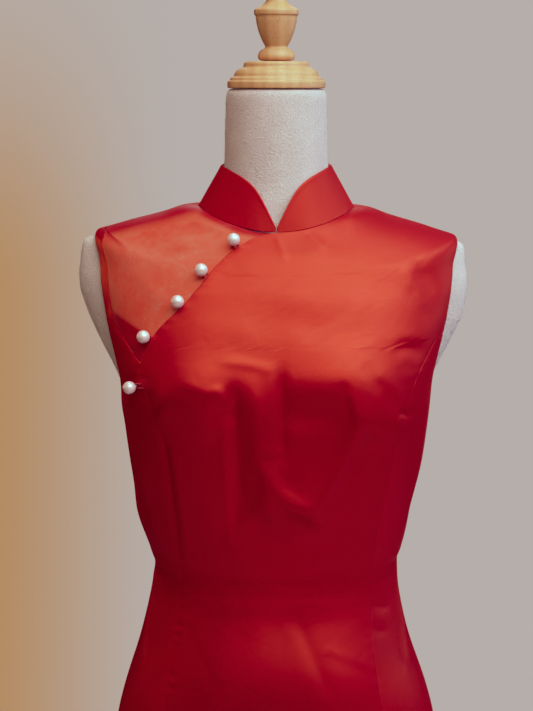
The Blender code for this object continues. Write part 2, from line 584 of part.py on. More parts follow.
# ---------------------------------------------------------------- pearls and loops
PEARL_RADIUS, SHANK_RADIUS, SHANK_LENGTH = 6.5, 1.2, 2.4
PEARL_STEPS, PEARL_SIDES = 7, 12
LOOP_RADIUS, LOOP_CLEARANCE = 0.8, 0.15
LOOP_SIDES, LOOP_BEND_POINTS, LOOP_LEG_POINTS = 5, 6, 3
Pearl = namedtuple("Pearl", "x z lift turn")   # turn: degrees from +X towards +Z, to the flap's edge
PEARLS = [
    Pearl(-42.0, 1376.5, UNDERLAP_LIFT, -48),
    Pearl(-73.5, 1349.5, UNDERLAP_LIFT, -36),
    Pearl(-95.8, 1320, UNDERLAP_LIFT, -42),
    Pearl(-127.5, 1286, UNDERLAP_LIFT, -18),
    Pearl(-138.5, 1236.5, 0.0, 10),
]


def lathe(name, profile, segments, finish, sharp_degrees=40):
    """Add a solid turned about Z from (radius, z) points that start and end on the axis."""
    points = [(0.0, 0.0, profile[0][1])]
    rings = profile[1:-1]
    for radius, z in rings:
        for k in range(segments):
            a = 2 * math.pi * k / segments
            points.append((radius * math.cos(a), radius * math.sin(a), z))
    points.append((0.0, 0.0, profile[-1][1]))
    faces = [(0, 1 + (k + 1) % segments, 1 + k) for k in range(segments)]
    for r in range(len(rings) - 1):
        low, high = 1 + r * segments, 1 + (r + 1) * segments
        for k in range(segments):
            n = (k + 1) % segments
            faces.append((low + k, low + n, high + n, high + k))
    last, tip = 1 + (len(rings) - 1) * segments, len(points) - 1
    faces += [(last + k, last + (k + 1) % segments, tip) for k in range(segments)]
    return add_mesh(name, points, faces, finish, sharp_degrees)


def frame_at(x, z, lift):
    """Return the point, the outward normal and two tangents of the front at x and z."""
    v, angle = on_front(x, z)
    origin = cloth_point(np.array(v), np.array(angle), np.array(lift))
    normal = normal_of(body_point, np.array(v), np.array(angle))
    right = np.cross([0, 0, 1], -normal)
    right = right / np.linalg.norm(right)
    return origin, normal, right, np.cross(normal, right) * -1


def tube(name, path, radius, sides, finish):
    """Add a closed round tube along a path of points in millimetres."""
    path = [np.asarray(p, float) for p in path]
    rings = []
    up = None
    for i, p in enumerate(path):
        ahead = path[min(i + 1, len(path) - 1)] - path[max(i - 1, 0)]
        ahead = ahead / np.linalg.norm(ahead)
        if up is None:
            up = np.cross(ahead, [0.31, 0.2, 0.93])
        up = up - ahead * np.dot(up, ahead)
        up = up / np.linalg.norm(up)
        side = np.cross(ahead, up)
        rings.append([p + radius * (math.cos(t) * up + math.sin(t) * side)
                      for t in np.linspace(0, 2 * math.pi, sides, endpoint=False)])
    points = [q for ring in rings for q in ring]
    faces = [tuple(range(sides))[::-1], tuple((len(rings) - 1) * sides + k for k in range(sides))]
    for r in range(len(rings) - 1):
        for k in range(sides):
            n = (k + 1) % sides
            faces.append((r * sides + k, r * sides + n, (r + 1) * sides + n, (r + 1) * sides + k))
    return add_mesh(name, points, faces, finish)


def build_pearl(index, place, pearl_finish, satin):
    """Add one pearl on its shank and the cord loop that runs from the flap's edge round the shank."""
    centre = SHANK_LENGTH + PEARL_RADIUS
    start = math.asin(SHANK_RADIUS / PEARL_RADIUS)
    profile = [(0, 0), (SHANK_RADIUS, 0)]
    for k in range(PEARL_STEPS):
        t = start + (math.pi - start) * k / PEARL_STEPS
        profile.append((PEARL_RADIUS * math.sin(t), centre - PEARL_RADIUS * math.cos(t)))
    profile.append((0, centre + PEARL_RADIUS))
    pearl = lathe(f"pearl_{index}", profile, PEARL_SIDES, pearl_finish, 60)
    origin, normal, right, up = frame_at(place.x, place.z, place.lift + GAP)
    matrix = np.stack([right, up, np.cross(right, up)], axis=1)
    if np.dot(matrix[:, 2], normal) < 0:
        matrix = np.stack([right, -up, normal], axis=1)
    for vertex in pearl.data.vertices:
        moved = origin * MM + matrix @ np.array(vertex.co)
        vertex.co = tuple(moved)

    height = place.lift + GAP + LOOP_RADIUS + LOOP_CLEARANCE
    path = [frame_at(*beside(place, forward, across), height)[0] for forward, across in loop_outline(place)]
    tube(f"loop_{index}", path, LOOP_RADIUS, LOOP_SIDES, satin)


def beside(place, forward, across):
    """Return x and z of a point beside a pearl, forward towards the flap's edge and across."""
    lead = math.radians(place.turn)
    return (place.x + forward * math.cos(lead) - across * math.sin(lead),
            place.z + forward * math.sin(lead) + across * math.cos(lead))


def reach_to_flap(place, across):
    """Return how far forward of a pearl the flap's edge, or the seam below it, lies."""
    low, high = 0.0, 20.0
    for _ in range(24):
        middle = (low + high) / 2
        v, angle = on_front(*beside(place, middle, across))
        if angle < front_left_edge(v):
            low = middle
        else:
            high = middle
    return low - GAP - LOOP_RADIUS * 0.5


def loop_outline(place):
    """Return the U of a button loop as (forward, across) from the shank's middle."""
    radius = SHANK_RADIUS + GAP + LOOP_RADIUS
    turns = np.radians(np.linspace(90, 270, LOOP_BEND_POINTS))
    bend = [(radius * math.cos(t), radius * math.sin(t)) for t in turns]
    first = [(f, radius) for f in np.linspace(reach_to_flap(place, radius), 0, LOOP_LEG_POINTS)[:-1]]
    last = [(f, -radius) for f in np.linspace(0, reach_to_flap(place, -radius), LOOP_LEG_POINTS)[1:]]
    return first + bend + last


# ---------------------------------------------------------------- dress form and stand
FORM_BOTTOM = 750.0
FORM_TOP = 1527.9
NeckRing = namedtuple("NeckRing", "z_side z_front z_back half_width y_front y_back")
NECK = [
    NeckRing(1407.2, 1386.4, 1414.4, 72.5, -58.8, 56.8),
    NeckRing(1411.8, 1395.0, 1420.0, 65.5, -57.2, 54.8),
    NeckRing(1423.0, 1411.0, 1431.0, 59.5, -56.0, 53.4),
    NeckRing(1437.0, 1430.0, 1443.0, 54.8, -54.2, 52.6),
    NeckRing(1453.0, 1450.0, 1457.0, 52.9, -53.0, 52.2),
    NeckRing(1477.0, 1476.0, 1478.0, 52.4, -52.4, 52.0),
    NeckRing(1506.0, 1506.0, 1506.0, 51.5, -51.5, 51.5),
    NeckRing(1520.0, 1520.0, 1520.0, 50.9, -50.9, 50.9),
    NeckRing(1525.5, 1525.5, 1525.5, 49.0, -49.0, 49.0),
    NeckRing(FORM_TOP, FORM_TOP, FORM_TOP, 45.0, -45.0, 45.0),
]
# How far the arm caps stand out of the armholes, by height.
CapReach = namedtuple("CapReach", "z right left")
CAP_REACH = [
    CapReach(1206, 0, 0), CapReach(1232, 7, 5), CapReach(1264, 14.5, 13), CapReach(1294, 20, 19),
    CapReach(1320, 23.5, 18), CapReach(1345, 22, 15.5), CapReach(1358, 21, 14.5), CapReach(1367, 18, 12.5),
    CapReach(1373.5, 12, 8.5), CapReach(1378, 0, 0),
]
CAP_INSET, CAP_INSET_TOP = 4.0, 5.0          # the cap keeps inside the armhole's edge
CAP_STEPS = np.array([0.0, 0.38, 0.72, 1.0])
CAP_LEAST_OPENING = 14.0                     # keeps ring steps apart above and below the caps
FORM_QUARTER = 9                             # ring steps in a quarter turn
FORM_CROWDING = 1.08
FORM_FOOT_INSET = 0.95                       # the form's bottom edge is turned in
FORM_ROWS = [753, 768, 815, 870, 925, 980, 1030, 1080, 1135, 1185, 1208, 1232, 1262, 1292, 1318, 1342,
             1357, 1367, 1373.5, 1378, 1384] + SHOULDER_ROWS + [1486.5]


def cap_opening(v, side):
    """Return how far before (side -1) or behind the side line the arm cap reaches at station v."""
    middle, half_height = (V_UNDERARM + V_TIP) / 2, (V_TIP - V_UNDERARM) / 2 - CAP_INSET_TOP
    depth = (ARMHOLE_FRONT if side < 0 else ARMHOLE_BACK) - CAP_INSET
    return depth * math.sqrt(max(1 - ((v - middle) / half_height) ** 2, 0.0))


def form_point(v, angle):
    """Return the form's surface: the body surface drawn in by its ease, with the arm caps standing out."""
    stations = np.full(np.shape(angle), float(v))
    a = np.radians(angle)
    flank = np.sin(a) ** 2
    ease = STATION_AT["ease_side"](v) * flank + np.where(
        np.cos(a) >= 0, STATION_AT["ease_front"](v), STATION_AT["ease_back"](v)) * (1 - flank)
    point = body_point(stations, angle) - ease[..., None] * normal_of(body_point, stations, angle)
    hand = np.sign(point[..., 0])
    heights = [c.z for c in CAP_REACH]
    reach = np.where(hand < 0, np.interp(v, heights, [c.right for c in CAP_REACH]),
                     np.interp(v, heights, [c.left for c in CAP_REACH]))
    opening = np.where(point[..., 1] < 0, cap_opening(v, -1), cap_opening(v, 1))
    window = np.clip(1 - (np.abs(point[..., 1]) / np.maximum(opening, 0.1)) ** 2, 0, 1)
    return point + np.stack([hand * reach * window, 0 * window, 0 * window], axis=-1)


def form_angles(v):
    """Return ring angles at station v, with steps that end on the arm cap's edge."""
    quarters = []
    for side, hand in ((-1, 1), (1, 1), (1, -1), (-1, -1)):
        edge = 90 - abs(angle_off_side(v, max(cap_opening(v, side), CAP_LEAST_OPENING), -1, 1))
        rest = np.linspace(0, 1, FORM_QUARTER - len(CAP_STEPS) + 2)[1:] ** FORM_CROWDING
        lean = np.concatenate([CAP_STEPS * edge, edge + (90 - edge) * rest])
        quarter = hand * (90 - lean) if side < 0 else hand * (90 + lean)
        quarters.append(quarter)
    front_right, back_right, back_left, front_left = quarters
    return np.concatenate([front_right[::-1][:-1], back_right[:-1],
                           360 + back_left[::-1][:-1], 360 + front_left[:-1]])


def build_form(cover):
    """Add the limbless form: hips, waist, bust, shoulders with arm caps, and neck."""
    rings = [form_point(v, form_angles(v)) for v in FORM_ROWS]
    centre = rings[0].mean(axis=0)
    inset = (rings[0][:, :2] - centre[:2]) * FORM_FOOT_INSET + centre[:2]
    rings.insert(0, np.column_stack([inset, np.full(len(inset), FORM_BOTTOM)]))
    angles = form_angles(FORM_ROWS[-1])
    a = np.radians(angles)
    for n in NECK:
        depth = np.where(np.cos(a) >= 0, -n.y_front, n.y_back)
        reach = 1 / np.hypot(np.sin(a) / n.half_width, np.cos(a) / depth)
        end = np.where(np.cos(a) >= 0, n.z_front, n.z_back)
        rings.append(np.stack([reach * np.sin(a), -reach * np.cos(a),
                               n.z_side + (end - n.z_side) * np.cos(a) ** 2], axis=-1))
    points = np.concatenate(rings + [np.array([[centre[0], centre[1], FORM_BOTTOM], [0, 0, FORM_TOP]])])
    count = len(angles)
    bottom, top = len(rings) * count, len(rings) * count + 1
    faces = []
    for r in range(len(rings) - 1):
        for k in range(count):
            n = (k + 1) % count
            low, high = r * count, (r + 1) * count
            faces += [(low + k, low + n, high + n), (low + k, high + n, high + k)]
    last = (len(rings) - 1) * count
    for k in range(count):
        n = (k + 1) % count
        faces += [(bottom, n, k), (top, last + k, last + n)]
    add_mesh("form_torso", points, faces, cover, 50)


Turned = namedtuple("Turned", "radius z")
CAP_PROFILE = [
    Turned(0, 1528.2), Turned(48.8, 1528.2), Turned(49.8, 1529.2), Turned(49.8, 1534.6), Turned(48.9, 1535.5),
    Turned(47.4, 1536.2), Turned(46.6, 1538.8), Turned(43.2, 1540.0), Turned(42.6, 1543.2), Turned(39.6, 1546.8),
    Turned(34.0, 1549.0), Turned(33.4, 1550.4), Turned(33.2, 1553.2), Turned(30.6, 1555.4), Turned(0, 1555.4),
]
FINIAL_PROFILE = [
    Turned(0, 1555.7), Turned(16.8, 1555.7), Turned(19.0, 1559.0), Turned(18.8, 1562.0), Turned(16.0, 1566.4),
    Turned(11.6, 1568.8), Turned(11.2, 1570.0), Turned(14.6, 1576.0), Turned(18.2, 1585.0), Turned(20.6, 1595.0),
    Turned(20.9, 1600.4), Turned(22.6, 1601.6), Turned(22.7, 1606.0), Turned(21.4, 1607.4), Turned(15.4, 1610.4),
    Turned(10.8, 1614.2), Turned(8.8, 1618.6), Turned(9.6, 1622.0), Turned(13.0, 1626.0), Turned(14.2, 1631.0),
    Turned(12.6, 1637.0), Turned(7.6, 1641.6), Turned(0, 1643.4),
]
BASE_PROFILE = [
    Turned(0, 0), Turned(186, 0), Turned(190, 4), Turned(190, 13), Turned(186, 19), Turned(176, 23),
    Turned(60, 26), Turned(40, 29), Turned(34, 38), Turned(27, 44), Turned(0, 44),
]
POLE_RADIUS = 15.0
POLE_PROFILE = [Turned(0, 44 + GAP), Turned(POLE_RADIUS, 44 + GAP),
                Turned(POLE_RADIUS, FORM_BOTTOM - GAP), Turned(0, FORM_BOTTOM - GAP)]


def main():
    """Build every piece."""
    for old in list(bpy.data.objects):
        bpy.data.objects.remove(old)
    satin = material("red_satin", (0.42, 0.012, 0.018), 0.38)
    organza = material("red_organza", (0.60, 0.10, 0.06), 0.5, alpha=0.72)
    cover = material("white_jersey", (0.78, 0.76, 0.72), 0.9)
    beech = material("beech_varnished", (0.72, 0.42, 0.20), 0.3)
    pearl = material("pearl", (0.88, 0.86, 0.82), 0.18)

    front_angles = build_front(satin)
    build_sides(satin)
    build_back(satin)
    build_yoke(organza, satin, front_angles)
    build_collar(satin)
    for index, place in enumerate(PEARLS, start=1):
        build_pearl(index, place, pearl, satin)
    build_form(cover)
    lathe("neck_cap", CAP_PROFILE, 30, beech)
    lathe("finial", FINIAL_PROFILE, 22, beech)
    lathe("base", BASE_PROFILE, 36, beech)
    lathe("pole", POLE_PROFILE, 20, beech)


main()
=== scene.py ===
"""Red satin cheongsam on a limbless dress form: sewn cloth, finishes, pearls, turned wood and light.

Sizes in the tables are millimetres and become metres when a mesh is made. The front faces -Y, +X is the
viewer's right and +Z is up. A point of the cloth is named by a station v, which is a closed ring round the
body, and by an angle on that ring: 0 at the front middle, 90 at the viewer's right, 180 at the back middle.
A side of -1 is the front and 1 the back; a hand of -1 is the viewer's left and 1 the viewer's right.
"""
from __future__ import annotations

import logging
import math
from dataclasses import dataclass
from enum import Enum
from typing import Callable, ClassVar, NamedTuple, Sequence

import bpy
import numpy as np
from mathutils import Matrix, Vector


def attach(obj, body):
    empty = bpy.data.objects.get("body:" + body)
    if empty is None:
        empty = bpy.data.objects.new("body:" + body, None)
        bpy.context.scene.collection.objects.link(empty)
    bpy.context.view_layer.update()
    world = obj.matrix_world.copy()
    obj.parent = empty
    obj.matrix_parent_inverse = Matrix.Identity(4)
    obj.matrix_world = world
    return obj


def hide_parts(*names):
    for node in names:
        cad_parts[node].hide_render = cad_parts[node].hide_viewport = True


LOG = logging.getLogger("cheongsam")
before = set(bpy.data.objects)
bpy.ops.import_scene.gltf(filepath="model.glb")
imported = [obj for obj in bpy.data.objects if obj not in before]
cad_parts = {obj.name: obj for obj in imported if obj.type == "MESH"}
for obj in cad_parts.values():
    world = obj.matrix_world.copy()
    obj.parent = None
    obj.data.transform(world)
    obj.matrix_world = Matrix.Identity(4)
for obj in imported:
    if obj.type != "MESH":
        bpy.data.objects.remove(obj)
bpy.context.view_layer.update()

MM = 0.001
GAP = 0.3                              # between neighbouring pieces
SATIN, ORGANZA, COLLAR_WALL = 1.2, 1.0, 1.8
UNDERLAP_LIFT = -(SATIN + GAP + 0.1)   # outer face of the yoke where the flap covers it
YOKE_RAMP = (16.0, 44.0)               # distances from the flap over which the yoke comes up level
Line = Callable[[float], float]        # the angle of a pattern line at a station
Points = Sequence[tuple[float, float]]


class Slot(str, Enum):
    """The record's material slots."""

    SATIN = "red_satin"
    ORGANZA = "red_organza"
    JERSEY = "white_jersey"
    BEECH = "beech_varnished"
    PEARL = "pearl"


# ---------------------------------------------------------------- tables of the cloth's form
class Station(NamedTuple):
    """One ring round the body, with the ease between cloth and form."""

    v: float
    z_side: float
    front_drop: float
    back_drop: float
    half_width: float
    y_side: float
    y_front: float
    y_back: float
    square_front: float
    square_back: float
    ease_side: float
    ease_front: float
    ease_back: float


class Swell(NamedTuple):
    """A soft rise of the body: bust or shoulder blade."""

    name: str
    x: float
    z: float
    side: int
    spread_x: float
    spread_z: float
    rise: float


class Fold(NamedTuple):
    """A fold along a bowed line, with a power that makes its crest soft (2) or crisp (1.2)."""

    name: str
    side: int
    x0: float
    z0: float
    x1: float
    z1: float
    bow: float
    width: float
    depth: float
    crisp: float = 2


class Slack(NamedTuple):
    """Slack or taut cloth at the sides, placed by its angle on the ring and its height."""

    name: str
    angle: float
    z: float
    spread_angle: float
    spread_z: float
    rise: float


def table(kind: type, *rows: tuple) -> tuple:
    """Return rows as named tuples of one kind."""
    return tuple(kind(*row) for row in rows)


STATIONS = table(
    Station,
    (500, 500, 0, 0, 166, 3, -108, 112, 2.3, 2.3, 6, 6, 6),
    (620, 620, 0, 0, 169.5, 3, -111, 117, 2.3, 2.3, 6, 6, 6),
    (740, 740, 0, 0, 174, 3, -114, 123, 2.28, 2.3, 6, 6, 6),
    (820, 820, 0, 0, 175, 3, -115.5, 126, 2.25, 2.3, 5, 5, 5),
    (864, 864, 0, 0, 169.8, 3, -114.5, 124, 2.25, 2.3, 5, 5.5, 5),
    (907, 907, 0, 0, 157.8, 3, -111, 117, 2.22, 2.3, 5.5, 6.5, 6),
    (947, 947, 0, 0, 143.8, 3, -105, 106, 2.2, 2.25, 6, 7.5, 7),
    (988, 988, 0, 0, 133.6, 3, -96.8, 94, 2.2, 2.2, 6, 7.5, 8),
    (1008, 1008, 0, 0, 130.2, 2.5, -93.3, 88, 2.2, 2.2, 6, 7.5, 8),
    (1027, 1027, 0, 0, 129.2, 2, -92.4, 84, 2.2, 2.2, 6, 8, 8),
    (1045, 1045, 0, 0, 131.9, 2, -94.6, 81, 2.21, 2.2, 6.8, 10, 8),
    (1067, 1067, 0, 0, 137.8, 2, -99.2, 80, 2.22, 2.2, 7.5, 14, 8),
    (1106, 1106, 0, 0, 146.6, 2, -108.4, 82, 2.25, 2.25, 8.5, 18, 7),
    (1145, 1145, 0, 0, 152.9, 1, -115.6, 86, 2.45, 2.3, 7.5, 17, 6),
    (1184, 1184, 0, 0, 157.4, 0, -120.6, 90, 2.62, 2.35, 6, 14, 5),
    (1212, 1212, 0, 0, 159.8, 0, -122.8, 92.5, 2.78, 2.4, 5, 10, 4.5),
    (1240, 1240, 0, 0, 162.4, 0, -123.2, 95, 2.88, 2.4, 4, 6.5, 4),
    (1250, 1250, 0.5, 0, 164.7, 0, -122.2, 95.6, 2.88, 2.4, 3.8, 6, 4),
    (1265, 1265, 2, 0, 168.6, 0, -119, 96.5, 2.84, 2.4, 3.5, 5.2, 4),
    (1290, 1290, 6, 0, 175.6, 0, -113, 97.5, 2.74, 2.4, 3.5, 4.7, 4),
    (1315, 1315, 13, 1, 181.2, 0, -106.5, 96.5, 2.62, 2.35, 3.2, 4.6, 4.2),
    (1340, 1340, 21, 2, 184.8, 0, -100.5, 94, 2.48, 2.3, 3.5, 4.6, 4.6),
    (1362, 1361.5, 28, 5, 185.4, 0, -94.5, 89.5, 2.38, 2.3, 4.4, 4.6, 5),
    (1383, 1381.5, 36, 9, 184.2, 0, -88.5, 84, 2.3, 2.3, 4.6, 4.6, 5.2),
    (1386.5, 1383, 35.9, 8.8, 181, 0, -87.9, 83.4, 2.3, 2.3, 4.5, 4.6, 5.1),
    (1391.5, 1384.6, 35.4, 8.4, 175.4, 0, -87, 82.5, 2.3, 2.3, 4.1, 4.6, 4.8),
    (1411, 1390.5, 33.5, 7, 156, 0, -83.5, 79, 2.25, 2.25, 2.3, 4.5, 3.6),
    (1436, 1397.5, 30.5, 6.5, 131, 0, -78.5, 74.5, 2.18, 2.18, 1.9, 4.2, 3),
    (1456, 1403.5, 29, 4.5, 111, 0, -73.5, 70, 2.1, 2.1, 1.9, 3.9, 2.2),
    (1474, 1409.3, 27.5, 1.5, 92.5, 0, -68.5, 65.5, 2.04, 2.04, 2, 4.2, 2.6),
    (1487, 1409, 22, -3, 80, 0, -65, 62, 2, 2, 2.3, 4.6, 2.6),
)
V_HEM, V_UNDERARM, V_TIP, V_NECK, V_SLIT = 500, 1203, 1383, 1487, 690
SWELLS = table(
    Swell,
    ("bust right", -80, 1236, -1, 40, 38, 6.5),
    ("bust left", 80, 1236, -1, 40, 38, 6.5),
    ("hanging slack", 21, 1138, -1, 30, 30, 3.6),
    ("blade right", -72, 1318, 1, 38, 42, 3),
    ("blade left", 72, 1318, 1, 38, 42, 3),
)
FOLDS = table(                         # the large folds, which the solids have too
    Fold,
    ("long furrow", -1, -43, 1240, -41, 1090, -1, 7, -2.8),
    ("furrow ridge", -1, -23, 1248, -20, 1150, 2, 11, 2.4),
    ("middle crease", -1, 5, 1256, 5, 1165, 0, 8, -1.8),
    ("hollow under left bust", -1, 4, 1214, 66, 1214, 0, 17, -2.8),
    ("drag from bust", -1, 82, 1202, 42, 1122, 0, 9, 2.4),
    ("swag", -1, -16, 1165, 37, 1114, -9, 9, 2.6),
    ("under swag", -1, -20, 1104, 40, 1092, 8, 12, -2.2),
    ("hollow under right bust", -1, -108, 1216, -30, 1216, 0, 16, -2.6),
    ("waist hollow", -1, -95, 1040, 98, 1042, -3, 12, -1.2),
    ("belly edge", -1, -90, 1006, 92, 1004, 3, 10, 0.5),
    ("low diagonal", -1, 20, 1000, 56, 916, 0, 9, -0.6),
    ("armhole drag", -1, 138, 1350, 158, 1306, 3, 9, -1.2),
    ("armhole dent", -1, 116, 1276, 146, 1270, 2, 7, -1.2),
    ("collar drag right", -1, 74, 1396, 42, 1382, 0, 6, -0.7),
    ("back waist high", 1, -70, 1062, 74, 1056, 6, 12, 2.4),
    ("back waist low", 1, -84, 1016, 66, 1022, -5, 11, -2.2),
    ("back lengthways right", 1, -58, 1190, -50, 1090, 4, 12, -1.8),
    ("back lengthways left", 1, 62, 1200, 52, 1084, -4, 12, -1.8),
    ("back shoulder drag", 1, 96, 1340, 132, 1280, 3, 10, -1.5),
)
SLACKS = table(
    Slack,
    ("slack right side", -88, 1088, 16, 24, 3.4),
    ("kink right waist", -88, 1034, 18, 9, -2.2),
    ("hollow left side", 88, 1098, 16, 30, -2.6),
    ("slack right hip", -88, 966, 22, 62, 2.4),
    ("kink left waist", 88, 1040, 18, 10, -1.8),
    ("right panel ridge", -66, 1150, 5, 62, 2),
    ("right panel trough", -74, 1120, 5, 50, -1.6),
    ("left panel ridge", 70, 1096, 6, 46, 1.6),
)
